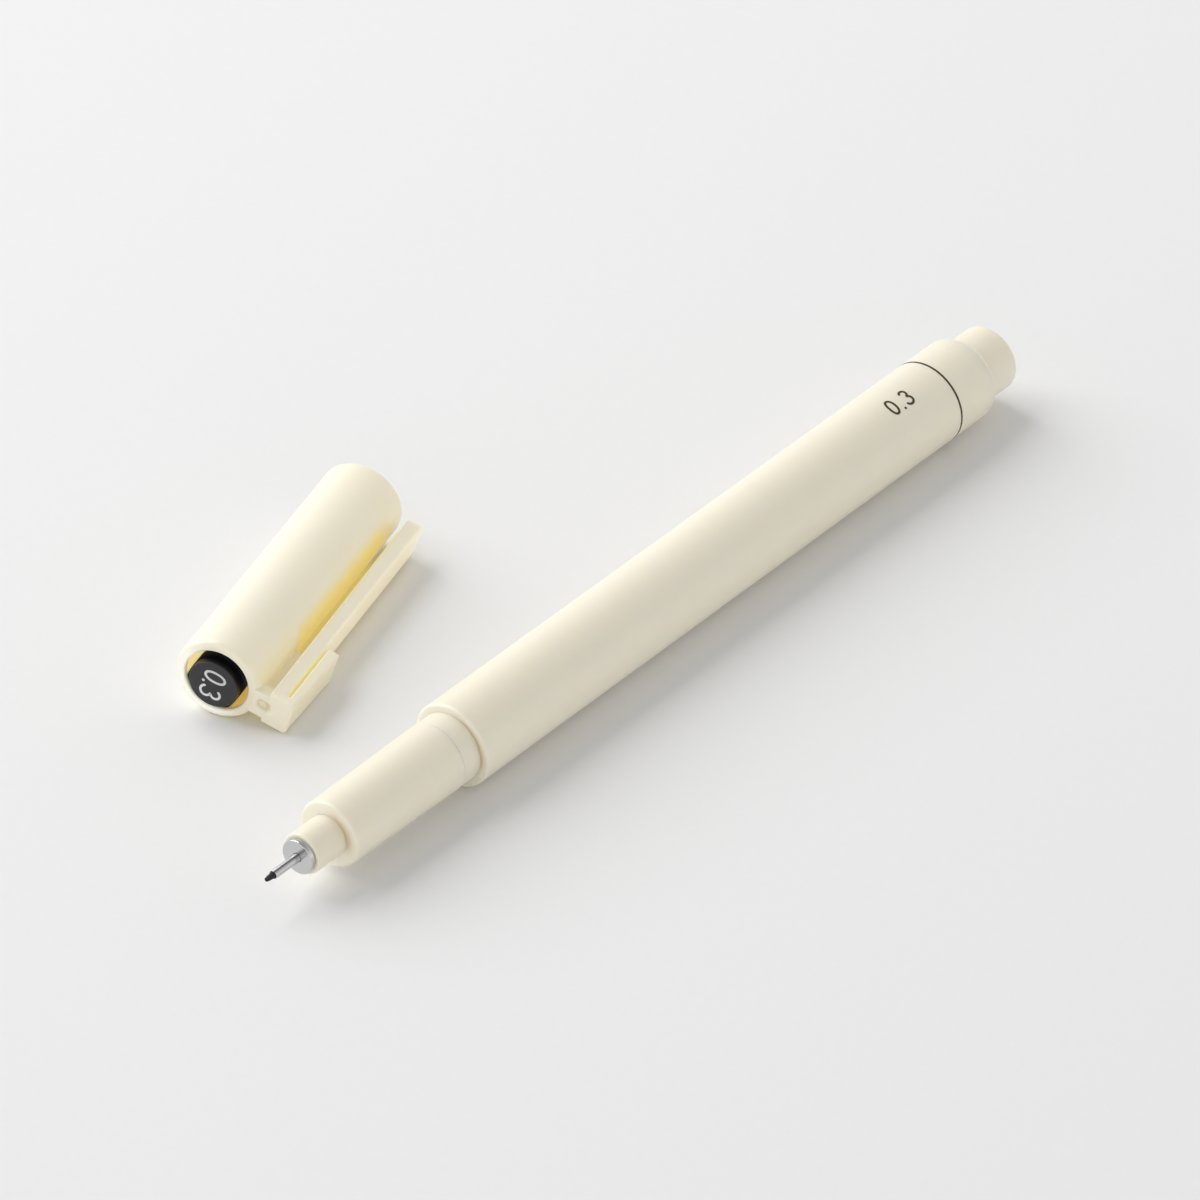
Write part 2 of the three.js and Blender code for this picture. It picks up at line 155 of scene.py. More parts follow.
def turned(name, profile, sides=144, sharp=SHARP_TURN):
    """A closed solid turned about X from (station, radius) points. A hollow one closes on its first point."""
    nought = 1e-7  # a radius below this is on the axis
    mesh_data = bmesh.new()
    rings = []
    for station, radius in profile:
        ring = []
        for i in range(sides if radius > nought else 1):
            turn = math.tau * i / sides
            ring.append(mesh_data.verts.new((station, -radius * math.sin(turn), radius * math.cos(turn))))
        rings.append(ring)
    pairs = list(zip(rings, rings[1:]))
    if profile[0][1] > nought:
        pairs.append((rings[-1], rings[0]))
    for first, second in pairs:
        for i in range(sides):
            j = (i + 1) % sides
            near, far = len(first), len(second)
            corners = [first[i % near], first[j % near], second[j % far], second[i % far]]
            corners = [v for k, v in enumerate(corners) if v not in corners[:k]]
            if len(corners) > 2:
                mesh_data.faces.new(corners)
    return mesh_object(name, mesh_data, sharp)


def block(name, low, high):
    """A box between two corners."""
    mesh_data = bmesh.new()
    bmesh.ops.create_cube(mesh_data, size=1)
    for vert in mesh_data.verts:
        vert.co = Vector((l + (h - l) * (c + 0.5) for l, h, c in zip(low, high, vert.co)))
    return mesh_object(name, mesh_data)


def rounded_outline(corners, steps=7):
    """A closed outline from (x, y, rounding) corners. The rounding is its reach along both sides."""
    points = []
    for i, (x, y, rounding) in enumerate(corners):
        corner = Vector((x, y))
        before = Vector(corners[i - 1][:2]) - corner
        after = Vector(corners[(i + 1) % len(corners)][:2]) - corner
        if rounding == 0:
            points.append(corner)
            continue
        start = corner + before.normalized() * rounding
        end = corner + after.normalized() * rounding
        for k in range(steps + 1):
            t = k / steps
            points.append(start * (1 - t) ** 2 + corner * 2 * t * (1 - t) + end * t**2)
    return points


def inset_outline(points, depth, least=0.4):
    """The outline moved into its solid by depth, where the solid is on the left of its direction.

    A sharp corner moves by no more than depth over least."""
    moved = []
    for i, point in enumerate(points):
        back = (point - points[i - 1]).normalized()
        ahead = (points[(i + 1) % len(points)] - point).normalized()
        inward = Vector((-back.y - ahead.y, back.x + ahead.x)).normalized()
        moved.append(point + inward * depth / max(least, inward.dot(Vector((-back.y, back.x)))))
    return moved


def loft(name, rings):
    """A closed solid through rings of as many points each, with flat ends."""
    mesh_data = bmesh.new()
    made = [[mesh_data.verts.new(point) for point in ring] for ring in rings]
    for first, second in zip(made, made[1:]):
        for i in range(len(first)):
            j = (i + 1) % len(first)
            mesh_data.faces.new((first[i], first[j], second[j], second[i]))
    mesh_data.faces.new(made[0])
    mesh_data.faces.new(list(reversed(made[-1])))
    return mesh_object(name, mesh_data)


def combine(piece, other, operation):
    """Joins the other solid to the piece, cuts it away or keeps what they share, and removes the other."""
    step = piece.modifiers.new(operation.lower(), "BOOLEAN")
    step.operation, step.object, step.solver = operation, other, "EXACT"
    settle(piece)
    bpy.data.objects.remove(other)


def soften(piece, width, least_turn=40, segments=3):
    """Rounds the piece's edges that turn by more than the least turn in degrees."""
    step = piece.modifiers.new("edges", "BEVEL")
    step.width, step.segments = width, segments
    step.limit_method, step.angle_limit = "ANGLE", math.radians(least_turn)
    step.miter_outer = "MITER_ARC"
    settle(piece)


def settle(piece):
    """Makes the piece's modifiers part of its mesh."""
    bpy.context.view_layer.update()
    evaluated = piece.evaluated_get(bpy.context.evaluated_depsgraph_get())
    mesh = bpy.data.meshes.new_from_object(evaluated)
    piece.modifiers.clear()
    old, piece.data = piece.data, mesh
    mesh.name = piece.name
    bpy.data.meshes.remove(old)
    shade(mesh)


def set_down(piece, place, body, material, nodes=()):
    """Gives the piece its finish and its place on a body.

    Its material keeps the piece's own coordinates, in millimetres. Without a body the piece is left unattached."""
    own = piece.data.attributes.new("own_mm", "FLOAT_VECTOR", "POINT")
    for vert, value in zip(piece.data.vertices, own.data):
        value.vector = vert.co / MM
    piece.data.transform(place)
    piece.data.materials.clear()
    piece.data.materials.append(material)
    if body:
        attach(piece, body)
    if nodes:
        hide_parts(*nodes)


# Shader helpers


def group_tree(name, inputs, outputs):
    """A shader node group and its input and output nodes, from {name: (socket type, default)} tables."""
    tree = bpy.data.node_groups.new(name, "ShaderNodeTree")
    for direction, table in (("INPUT", inputs), ("OUTPUT", outputs)):
        for label, (kind, default) in table.items():
            socket = tree.interface.new_socket(name=label, in_out=direction, socket_type="NodeSocket" + kind)
            if default is not None:
                socket.default_value = default
    return tree, tree.nodes.new("NodeGroupInput"), tree.nodes.new("NodeGroupOutput")


def place_group(tree, group, place):
    """A node of the group in the tree, fed with the place."""
    node = tree.nodes.new("ShaderNodeGroup")
    node.node_tree = group
    tree.links.new(place, node.inputs["Place"])
    return node


def feed(tree, value, socket):
    """Links an output to the socket, or sets a plain value on it."""
    if isinstance(value, bpy.types.NodeSocket):
        tree.links.new(value, socket)
    else:
        socket.default_value = value


def math_node(tree, operation, *values):
    """The result of a Math node on the values."""
    node = tree.nodes.new("ShaderNodeMath")
    node.operation = operation
    for socket, value in zip(node.inputs, values):
        feed(tree, value, socket)
    return node.outputs[0]


def times(tree, product, *others):
    """The product of the values."""
    for other in others:
        product = math_node(tree, "MULTIPLY", product, other)
    return product


def ramp(tree, value, low, high):
    """A smooth step of the value from 0 at low to 1 at high."""
    node = tree.nodes.new("ShaderNodeMapRange")
    node.interpolation_type = "SMOOTHSTEP"
    feed(tree, value, node.inputs["Value"])
    feed(tree, low, node.inputs["From Min"])
    feed(tree, high, node.inputs["From Max"])
    return node.outputs["Result"]


def blend_colours(tree, share, first, second):
    """The first colour, with that share of the second."""
    node = tree.nodes.new("ShaderNodeMix")
    node.data_type = "RGBA"
    feed(tree, share, node.inputs["Factor"])
    feed(tree, first, node.inputs["A"])
    feed(tree, second, node.inputs["B"])
    return node.outputs["Result"]


def noise(tree, place, scale, detail=2.0, roughness=0.5):
    """Noise from 0 to 1 at the place."""
    node = tree.nodes.new("ShaderNodeTexNoise")
    feed(tree, place, node.inputs["Vector"])
    feed(tree, scale, node.inputs["Scale"])
    feed(tree, detail, node.inputs["Detail"])
    feed(tree, roughness, node.inputs["Roughness"])
    return node.outputs["Fac"]


def parts(tree, place):
    """A place's coordinates along the piece's axis, across it and up."""
    split = tree.nodes.new("ShaderNodeSeparateXYZ")
    tree.links.new(place, split.inputs[0])
    return split.outputs


def from_axis(tree, across, up):
    """The distance from the piece's axis."""
    return math_node(tree, "SQRT", math_node(tree, "ADD", times(tree, across, across), times(tree, up, up)))


def facing(tree, across, up, radius, towards):
    """How far a place round the axis lies towards a side, given as its shares across and up."""
    share = times(tree, across, towards[0])
    return math_node(tree, "DIVIDE", math_node(tree, "MULTIPLY_ADD", up, towards[1], share), radius)


def own_coordinates(tree):
    """The own coordinates in millimetres that set_down keeps."""
    node = tree.nodes.new("ShaderNodeAttribute")
    node.attribute_name = "own_mm"
    return node.outputs["Vector"]


def object_millimetres(tree):
    """Object coordinates in millimetres, for the solids that keep their own mesh."""
    node = tree.nodes.new("ShaderNodeTexCoord")
    scaled = tree.nodes.new("ShaderNodeVectorMath")
    scaled.operation = "SCALE"
    tree.links.new(node.outputs["Object"], scaled.inputs[0])
    scaled.inputs["Scale"].default_value = 1 / MM
    return scaled.outputs[0]


def opaque(colour, share=1.0):
    """The colour times a share, as the four values that a colour socket takes."""
    return (*(c * share for c in colour), 1.0)


# Shared effects


def moulded_surface():
    """Group: fine texture, faint colour drift and handling marks of a moulded plastic."""
    name = "moulded_surface"
    if name in bpy.data.node_groups:
        return bpy.data.node_groups[name]
    grey = (0.8, 0.8, 0.8, 1)
    tree, given, result = group_tree(
        name,
        {
            "Place": ("Vector", None),
            "Colour": ("Color", grey),
            "Drift Colour": ("Color", grey),
            "Drift": ("Float", 0.3),
            "Fineness": ("Float", 6.0),
            "Gloss Low": ("Float", 0.4),
            "Gloss High": ("Float", 0.5),
        },
        {"Colour": ("Color", None), "Roughness": ("Float", None), "Height": ("Float", None)},
    )
    place = given.outputs["Place"]
    clouds = ramp(tree, noise(tree, place, scale=0.09, detail=3.0), 0.35, 0.65)
    share = times(tree, clouds, given.outputs["Drift"])
    colour = blend_colours(tree, share, given.outputs["Colour"], given.outputs["Drift Colour"])
    tree.links.new(colour, result.inputs["Colour"])
    handling = ramp(tree, noise(tree, place, scale=0.5, detail=4.0, roughness=0.6), 0.3, 0.7)
    span = math_node(tree, "SUBTRACT", given.outputs["Gloss High"], given.outputs["Gloss Low"])
    gloss = math_node(tree, "MULTIPLY_ADD", handling, span, given.outputs["Gloss Low"])
    tree.links.new(gloss, result.inputs["Roughness"])
    tree.links.new(noise(tree, place, given.outputs["Fineness"]), result.inputs["Height"])
    return tree


def clip_shade():
    """Group: masks of the places on the cap that light reaches through the plastic or from one side only.

    A mask's edge goes from the value where it is 0 to the value where it is 1. Lengths are in millimetres."""
    name = "clip_shade"
    if name in bpy.data.node_groups:
        return bpy.data.node_groups[name]
    gaps = ("Open Gap", "Web Gap", "Underside", "Slit", "Pocket")
    masks = {mask: ("Float", None) for mask in (*gaps, "Arm Back", "End Ring", "Pale Bore", "Deep Bore")}
    tree, given, result = group_tree(name, {"Place": ("Vector", None)}, masks)
    along, across, up = parts(tree, given.outputs["Place"])
    radius = from_axis(tree, across, up)

    cap, clip = bpy.context.scene.fineliner_cap, bpy.context.scene.fineliner_clip
    web_end, mouth, wall = cap.web_length / MM, cap.length / MM, cap.radius / MM
    bore, bore_depth = cap.end_bore / MM, cap.end_bore_depth / MM
    arm_inside, arm_outside = clip.inside / MM, (clip.inside + clip.thickness) / MM
    slit_half, slit_start, tongue_end = clip.slit / 2 / MM, clip.slit_start / MM, clip.tongue_length / MM
    pocket_middle = (POCKET_LOW + POCKET_HIGH) / 2 / MM
    pocket_high, pocket_wide = (POCKET_HIGH - POCKET_LOW) / 2 / MM, POCKET_WIDTH / 2 / MM

    clip_side, floor_side, lamp_side = (0.0, 1.0), (-0.67, 0.74), (1.0, 1.0)
    flat_sides = (-math.sin(cap.plug_turn), math.cos(cap.plug_turn))

    under_arm = ramp(tree, up, arm_inside + 0.2, arm_inside - 0.1)
    before_mouth = ramp(tree, along, mouth - 2.0, mouth - 7.0)
    to_clip = facing(tree, across, up, radius, clip_side)

    below_arm = ramp(tree, to_clip, 0.74, 0.985)
    past_web = ramp(tree, along, web_end + 0.1, web_end + 0.8)
    tree.links.new(times(tree, below_arm, under_arm, past_web, before_mouth), result.inputs["Open Gap"])

    beside_web = ramp(tree, to_clip, 0.55, 0.95)
    before_web_end = ramp(tree, along, web_end - 0.2, web_end - 0.9)
    behind_end = ramp(tree, along, 0.2, 1.2)
    tree.links.new(times(tree, beside_web, under_arm, before_web_end, behind_end), result.inputs["Web Gap"])

    to_floor = ramp(tree, facing(tree, across, up, radius, floor_side), 0.7, 0.9)
    on_outside = ramp(tree, radius, wall - 0.25, wall - 0.05)
    past_bridge = ramp(tree, along, 2.5, 7.0)
    underside = times(tree, to_floor, on_outside, under_arm, past_bridge, before_mouth)
    tree.links.new(underside, result.inputs["Underside"])

    on_back = ramp(tree, up, arm_outside - 0.35, arm_outside - 0.05)
    past_tongue = ramp(tree, along, tongue_end - 0.2, tongue_end + 0.8)
    tree.links.new(times(tree, on_back, past_tongue), result.inputs["Arm Back"])

    mask_lift = 0.025  # how far the mask's middle lies above the slit's own
    slit_middle = arm_outside + slit_half + mask_lift
    off_middle = math_node(tree, "ABSOLUTE", math_node(tree, "SUBTRACT", up, slit_middle))
    on_walls = ramp(tree, off_middle, slit_half + 0.125, slit_half - 0.015)
    past_start = ramp(tree, along, slit_start - 0.3, slit_start + 0.1)
    before_tongue_end = ramp(tree, along, tongue_end + 0.5, tongue_end - 0.3)
    tree.links.new(times(tree, on_walls, past_start, before_tongue_end), result.inputs["Slit"])

    off_middle = math_node(tree, "ABSOLUTE", math_node(tree, "SUBTRACT", up, pocket_middle))
    between_ends = ramp(tree, off_middle, pocket_high + 0.2, pocket_high - 0.1)
    between_sides = ramp(tree, math_node(tree, "ABSOLUTE", across), pocket_wide + 0.225, pocket_wide - 0.025)
    from_face = ramp(tree, along, 0.08, 0.5)
    to_bottom = ramp(tree, along, 1.4, 1.2)
    pocket = times(tree, between_ends, from_face, between_sides, to_bottom)
    tree.links.new(pocket, result.inputs["Pocket"])

    away = ramp(tree, facing(tree, across, up, radius, lamp_side), 0.4, -0.9)
    at_end = ramp(tree, along, 0.5, 0.2)
    round_bore = ramp(tree, radius, bore + 0.95, bore + 0.45)
    tree.links.new(times(tree, away, at_end, round_bore), result.inputs["End Ring"])

    on_bore = ramp(tree, radius, bore + 0.35, bore + 0.05)
    past_rim = ramp(tree, along, 0.1, 0.9)
    before_step = ramp(tree, along, bore_depth - 0.1, bore_depth - 0.3)
    to_flats = math_node(tree, "ABSOLUTE", facing(tree, across, up, radius, flat_sides))
    beside_flats = ramp(tree, to_flats, 0.74, 0.82)
    vents = times(tree, on_bore, past_rim, before_step, beside_flats)
    near_clip = ramp(tree, up, -1.0, 1.0)
    tree.links.new(times(tree, vents, near_clip), result.inputs["Deep Bore"])
    far_from_clip = math_node(tree, "SUBTRACT", 1.0, near_clip)
    tree.links.new(times(tree, vents, far_from_clip), result.inputs["Pale Bore"])
    return tree


def step_shade():
    """Group: the shaded side of a step's face, and the rounded rim outside it."""
    name = "step_shade"
    if name in bpy.data.node_groups:
        return bpy.data.node_groups[name]
    tree, given, result = group_tree(
        name,
        {
            "Place": ("Vector", None),
            "Station": ("Float", 10.72),
            "Inner": ("Float", 2.55),
            "Outer": ("Float", 4.15),
            "Rim": ("Float", 0.35),
        },
        {"Shaded": ("Float", None), "Lit": ("Float", None)},
    )
    along, across, up = parts(tree, given.outputs["Place"])
    radius = from_axis(tree, across, up)
    rim = given.outputs["Rim"]
    depth = math_node(tree, "SUBTRACT", along, given.outputs["Station"])
    rim_start = math_node(tree, "SUBTRACT", given.outputs["Outer"], rim)
    on_face = math_node(tree, "LESS_THAN", depth, times(tree, rim, 0.5))
    shaded_side = (-0.85, 0.5)
    turned_away = ramp(tree, facing(tree, across, up, radius, shaded_side), 0.25, 0.95)
    near_nose = ramp(tree, radius, rim_start, given.outputs["Inner"])
    tree.links.new(times(tree, turned_away, near_nose, on_face), result.inputs["Shaded"])
    on_rim = ramp(tree, radius, rim_start, math_node(tree, "ADD", rim_start, rim))
    near_face = ramp(tree, depth, times(tree, rim, 1.5), 0.0)
    rim_share, face_share = 0.6, 0.75
    lit_rim = times(tree, on_rim, near_face, rim_share)
    lit_face = times(tree, on_face, math_node(tree, "SUBTRACT", 1.0, turned_away), face_share)
    tree.links.new(math_node(tree, "MAXIMUM", lit_rim, lit_face), result.inputs["Lit"])
    return tree


# Materials


def new_material(name):
    """A new material, its node tree and the one shader in it."""
    material = bpy.data.materials.new(name)
    material.use_nodes = True
    tree = material.node_tree
    tree.nodes.clear()
    output = tree.nodes.new("ShaderNodeOutputMaterial")
    shader = tree.nodes.new("ShaderNodeBsdfPrincipled")
    tree.links.new(shader.outputs[0], output.inputs["Surface"])
    return material, tree, shader


def add_surface(tree, shader, place, colour, fineness, gloss, drift=0.0, drift_colour=None):
    """Places the moulded surface group with one finish's values, and returns its height for the bump.

    Gloss is the lowest and the highest roughness. Drift is the share of the drift colour in its patches."""
    node = place_group(tree, moulded_surface(), place)
    feed(tree, colour, node.inputs["Colour"])
    feed(tree, drift_colour or colour, node.inputs["Drift Colour"])
    node.inputs["Drift"].default_value = drift
    node.inputs["Fineness"].default_value = fineness
    node.inputs["Gloss Low"].default_value, node.inputs["Gloss High"].default_value = gloss
    tree.links.new(node.outputs["Colour"], shader.inputs["Base Color"])
    tree.links.new(node.outputs["Roughness"], shader.inputs["Roughness"])
    return node.outputs["Height"]


def add_bump(tree, shader, height, strength, distance):
    """Roughens the shader's normal by the height, at most by that distance in millimetres."""
    bump = tree.nodes.new("ShaderNodeBump")
    bump.inputs["Strength"].default_value = strength
    bump.inputs["Distance"].default_value = distance * MM
    tree.links.new(height, bump.inputs["Height"])
    tree.links.new(bump.outputs["Normal"], shader.inputs["Normal"])


def cap_colour(tree, shader, place):
    """The cap's colour with painted shade: it deepens to a warm yellow where light only comes through the plastic.

    Its painted glow, an emission, goes straight to the shader."""
    finish = bpy.context.scene.fineliner_finish
    masks = place_group(tree, clip_shade(), place).outputs
    # The colour takes painted shade from each mask's tint, and glow collects a painted glow for the emission.
    colour, glow = opaque(finish.cap_cream), opaque(finish.cap_painted_glow)
    for mask, tint, share in (
        ("Web Gap", finish.web_painted_tint, finish.web_painted_glow),
        ("Underside", finish.under_painted_tint, finish.under_painted_glow),
        ("Open Gap", finish.gap_painted_tint, finish.gap_painted_glow),
        ("Arm Back", finish.back_painted_tint, finish.back_painted_glow),
        ("Slit", finish.slit_painted_tint, finish.slit_painted_glow),
        ("Pocket", finish.pocket_painted_tint, finish.pocket_painted_glow),
        ("End Ring", finish.ring_painted_tint, finish.ring_painted_glow),
        ("Pale Bore", finish.pale_vent_painted_tint, finish.vent_painted_glow),
        ("Deep Bore", finish.vent_painted_tint, finish.vent_painted_glow),
    ):
        colour = blend_colours(tree, masks[mask], colour, opaque(tint))
        glow = blend_colours(tree, masks[mask], glow, opaque(tint, share))
    tree.links.new(glow, shader.inputs["Emission Color"])
    shader.inputs["Emission Strength"].default_value = 1.0
    return colour


def step_colour(tree, place, step):
    """The pen's colour with the shade and the lit rim of a step, from its station, two radii and rounding."""
    finish = bpy.context.scene.fineliner_finish
    node = place_group(tree, step_shade(), place)
    for label, value in zip(("Station", "Inner", "Outer", "Rim"), step):
        node.inputs[label].default_value = value / MM
    colour = blend_colours(tree, node.outputs["Shaded"], opaque(finish.cream), opaque(finish.step_tint))
    return blend_colours(tree, node.outputs["Lit"], colour, opaque(finish.rim_tint))


def cream_plastic(name, on_cap=False, step=None):
    """Satin cream plastic of the cap, of a pen piece with a step, or of a plain pen piece."""
    if name in bpy.data.materials:
        return bpy.data.materials[name]
    finish = bpy.context.scene.fineliner_finish
    material, tree, shader = new_material(name)
    place = own_coordinates(tree)
    fineness, gloss = 7.0, (0.3, 0.4)
    # The cap's colour carries painted shade and a painted glow, and a step's colour carries painted shade and a
    # painted lit rim.
    if on_cap:
        height = add_surface(tree, shader, place, cap_colour(tree, shader, place), fineness, gloss)
    elif step:
        height = add_surface(tree, shader, place, step_colour(tree, place, step), fineness, gloss)
    else:
        drift, drift_colour = 0.5, opaque(finish.cream_drift)
        height = add_surface(tree, shader, place, opaque(finish.cream), fineness, gloss, drift, drift_colour)
    add_bump(tree, shader, height, strength=0.12, distance=0.02)
    shader.inputs["Subsurface Weight"].default_value = finish.cream_depth
    shader.inputs["Subsurface Radius"].default_value = (1.0, 0.85, 0.45)
    shader.inputs["Subsurface Scale"].default_value = 0.9 * MM
    shader.inputs["IOR"].default_value = 1.72
    return material


def black_plastic():
    """Black plastic of the plug, with painted shade: it is darker on its sides, behind the edge of its raised
    face.
    """
    name = "plug_plastic"
    if name in bpy.data.materials:
        return bpy.data.materials[name]
    finish = bpy.context.scene.fineliner_finish
    material, tree, shader = new_material(name)
    place = own_coordinates(tree)
    along = parts(tree, place)[0]
    face = -bpy.context.scene.fineliner_cap.plug_rise / MM
    # Painted shade on the sides behind the raised face.
    on_shaded_side = ramp(tree, along, face + 0.04, face + 0.14)
    colour = blend_colours(tree, on_shaded_side, opaque(finish.black), opaque(finish.black_shaded_side))
    height = add_surface(tree, shader, place, colour, fineness=9.0, gloss=(0.28, 0.4))
    add_bump(tree, shader, height, strength=0.15, distance=0.02)
    shader.inputs["IOR"].default_value = 1.36
    return material


def turned_steel(name, gloss, reflection_streak=0.0):
    """Steel with fine turning marks round its axis, and a painted reflection: a dark line along its upper side, as
    deep as the given share.
    """
    if name in bpy.data.materials:
        return bpy.data.materials[name]
    finish = bpy.context.scene.fineliner_finish
    material, tree, shader = new_material(name)
    place = own_coordinates(tree)
    along, across, up = parts(tree, place)
    radius = from_axis(tree, across, up)
    rings = tree.nodes.new("ShaderNodeCombineXYZ")
    feed(tree, math_node(tree, "ADD", along, radius), rings.inputs[0])
    marks = noise(tree, rings.outputs[0], scale=14.0, detail=3.0, roughness=0.7)
    # Painted reflection: a dark line where the steel would mirror something dark.
    reflection_middle = -0.35
    sideways = facing(tree, across, up, radius, (1.0, 0.0))
    off_reflection = math_node(tree, "ABSOLUTE", math_node(tree, "SUBTRACT", sideways, reflection_middle))
    on_reflection = ramp(tree, off_reflection, 0.26, 0.06)
    dark = times(tree, on_reflection, math_node(tree, "GREATER_THAN", up, 0.0), reflection_streak)
    colour = blend_colours(tree, dark, opaque(finish.steel), opaque(finish.steel, 0.25))
    add_surface(tree, shader, place, colour, fineness=5.0, gloss=gloss)
    add_bump(tree, shader, marks, strength=0.2, distance=0.01)
    shader.inputs["Metallic"].default_value = 1.0
    return material


def inked_fibre(name, colour, on_solid):
    """Fibre soaked with ink: strands along the pen with darker patches."""
    if name in bpy.data.materials:
        return bpy.data.materials[name]
    material, tree, shader = new_material(name)
    place = object_millimetres(tree) if on_solid else own_coordinates(tree)
    stretch = tree.nodes.new("ShaderNodeVectorMath")
    stretch.operation = "MULTIPLY"
    tree.links.new(place, stretch.inputs[0])
    stretch.inputs[1].default_value = (0.4, 9.0, 9.0)
    strands = noise(tree, stretch.outputs[0], scale=1.0, detail=3.0, roughness=0.6)
    base = blend_colours(tree, ramp(tree, strands, 0.3, 0.7), opaque(colour, 0.6), opaque(colour))
    add_surface(tree, shader, place, base, fineness=4.0, gloss=(0.5, 0.8))
    add_bump(tree, shader, strands, strength=0.4, distance=0.03)
    return material


def clear_film():
    """Thin film, clearer in some places than in others."""
    name = "reservoir_film"
    if name in bpy.data.materials:
        return bpy.data.materials[name]
    film = bpy.context.scene.fineliner_finish.film
    material, tree, shader = new_material(name)
    place, patches = object_millimetres(tree), {"drift": 0.6, "drift_colour": opaque(film, 0.85)}
    height = add_surface(tree, shader, place, opaque(film), fineness=3.0, gloss=(0.15, 0.3), **patches)
    least_alpha, span = 0.35, 0.2
    tree.links.new(math_node(tree, "MULTIPLY_ADD", height, span, least_alpha), shader.inputs["Alpha"])
    return material


def print_ink(name, colour):
    """A thin printed line: slightly uneven, matte."""
    if name in bpy.data.materials:
        return bpy.data.materials[name]
    material, tree, shader = new_material(name)
    place, patches = own_coordinates(tree), {"drift": 0.7, "drift_colour": opaque(colour, 1.35)}
    height = add_surface(tree, shader, place, opaque(colour), fineness=12.0, gloss=(0.45, 0.6), **patches)
    add_bump(tree, shader, height, strength=0.1, distance=0.01)
    shader.inputs["IOR"].default_value = 1.25
    return material


# Settings


def length_setting(name, description, millimetres, **options):
    """A size, with its default in millimetres."""
    default = millimetres * MM
    return FloatProperty(name=name, description=description, default=default, unit="LENGTH", **options)


def turn_setting(name, description, degrees):
    """An angle, with its default in degrees."""
    return FloatProperty(name=name, description=description, default=math.radians(degrees), subtype="ANGLE")


def tint_setting(name, description, colour):
    """A colour without alpha."""
    limits = {"size": 3, "min": 0, "max": 1}
    return FloatVectorProperty(name=name, description=description, default=colour, subtype="COLOR", **limits)


def strength_setting(name, description, default, **options):
    """A number that can't be negative."""
    return FloatProperty(name=name, description=description, default=default, min=0, **options)


def place_setting(name, description, default):
    """A place or a distance in three directions."""
    kind = {"size": 3, "subtype": "TRANSLATION"}
    return FloatVectorProperty(name=name, description=description, default=default, **kind)


def sides_setting(description):
    """How many sides a round piece has."""
    return IntProperty(name="Sides", description=description, default=144, min=24)


class PenSizes(PropertyGroup):
    """Sizes of the pen's visible pieces that its solids' boxes don't give."""

    lip: length_setting("Barrel lip", "Rounding of the barrel's front edge", 0.32)
    wall: length_setting("Barrel wall", "Wall of the barrel", 1.05)
    rear_edge: length_setting("Barrel rear edge", "Rounding at the seam to the tail", 0.06)
    seam: length_setting("Seam", "Gap of a seam between two pieces", 0.05)
    grip_front: length_setting("Grip front radius", "Radius behind the grip's front edge", 4.15)
    grip_edge: length_setting("Grip edge", "Rounding of the grip's front edge", 0.38)
    collar_edge: length_setting("Collar edge", "Softened edge at the collar's seam", 0.05)
    nose_radius: length_setting("Nose radius", "Radius of the nose in front of the grip", 2.55)
    nose_edge: length_setting("Nose edge", "Rounding of the nose's front edge", 0.22)
    disc_edge: length_setting("Ferrule edge", "Rounding of the metal disc's edges", 0.14)
    disc_thickness: length_setting("Ferrule thickness", "Thickness of the metal disc", 0.7)
    tube_wall: length_setting("Tube wall", "Wall of the point's tube", 0.11)
    point_radius: length_setting("Point radius", "Radius of the fibre point in its tube", 0.38)
    stub_radius: length_setting("Tail radius", "Radius of the narrow tail", 4.15)
    stub_length: length_setting("Tail length", "Length of the narrow tail", 4.85)
    stub_edge: length_setting("Tail edge", "Rounding of the tail's end", 0.6)
    sides: sides_setting("Sides of the pen's large round pieces")


class CapSizes(PropertyGroup):
    """Sizes of the cap and its plug, in the cap's own frame."""

    length: length_setting("Length", "Closed end to mouth", 38.6)
    radius: length_setting("Radius", "Outer radius", 5.15)
    bore: length_setting("Bore", "Radius of the mouth's bore", 4.43)
    end_bore: length_setting("End bore", "Radius of the bore round the plug", 3.95)
    end_bore_depth: length_setting("End bore depth", "Depth of the bore round the plug", 6)
    end_edge: length_setting("End edge", "Rounding of the closed end", 0.75)
    mouth_edge: length_setting("Mouth edge", "Rounding of the mouth", 0.22)
    bore_edge: length_setting("Bore edge", "Rounding of the bores' edges", 0.12)
    bridge_width: length_setting("Bridge width", "Width of the bridge to the clip", 3.3)
    bridge_thickness: length_setting("Bridge thickness", "Bridge along the cap's axis", 1.6)
    web_length: length_setting("Web length", "End of the web behind the bridge", 10.6)
    web_width: length_setting("Web width", "Width of the web", 1.95)
    plug_face: length_setting("Plug face", "Radius of the plug's raised face", 3.0)
    plug_rise: length_setting("Plug rise", "How far the plug's face stands out", 0.9)
    plug_flats: length_setting("Plug flats", "Across the plug's two flats", 6.3)
    plug_turn: turn_setting("Plug turn", "Turn of the flats from the clip", 14.2)
    sides: sides_setting("Sides of the cap's tube and plug")


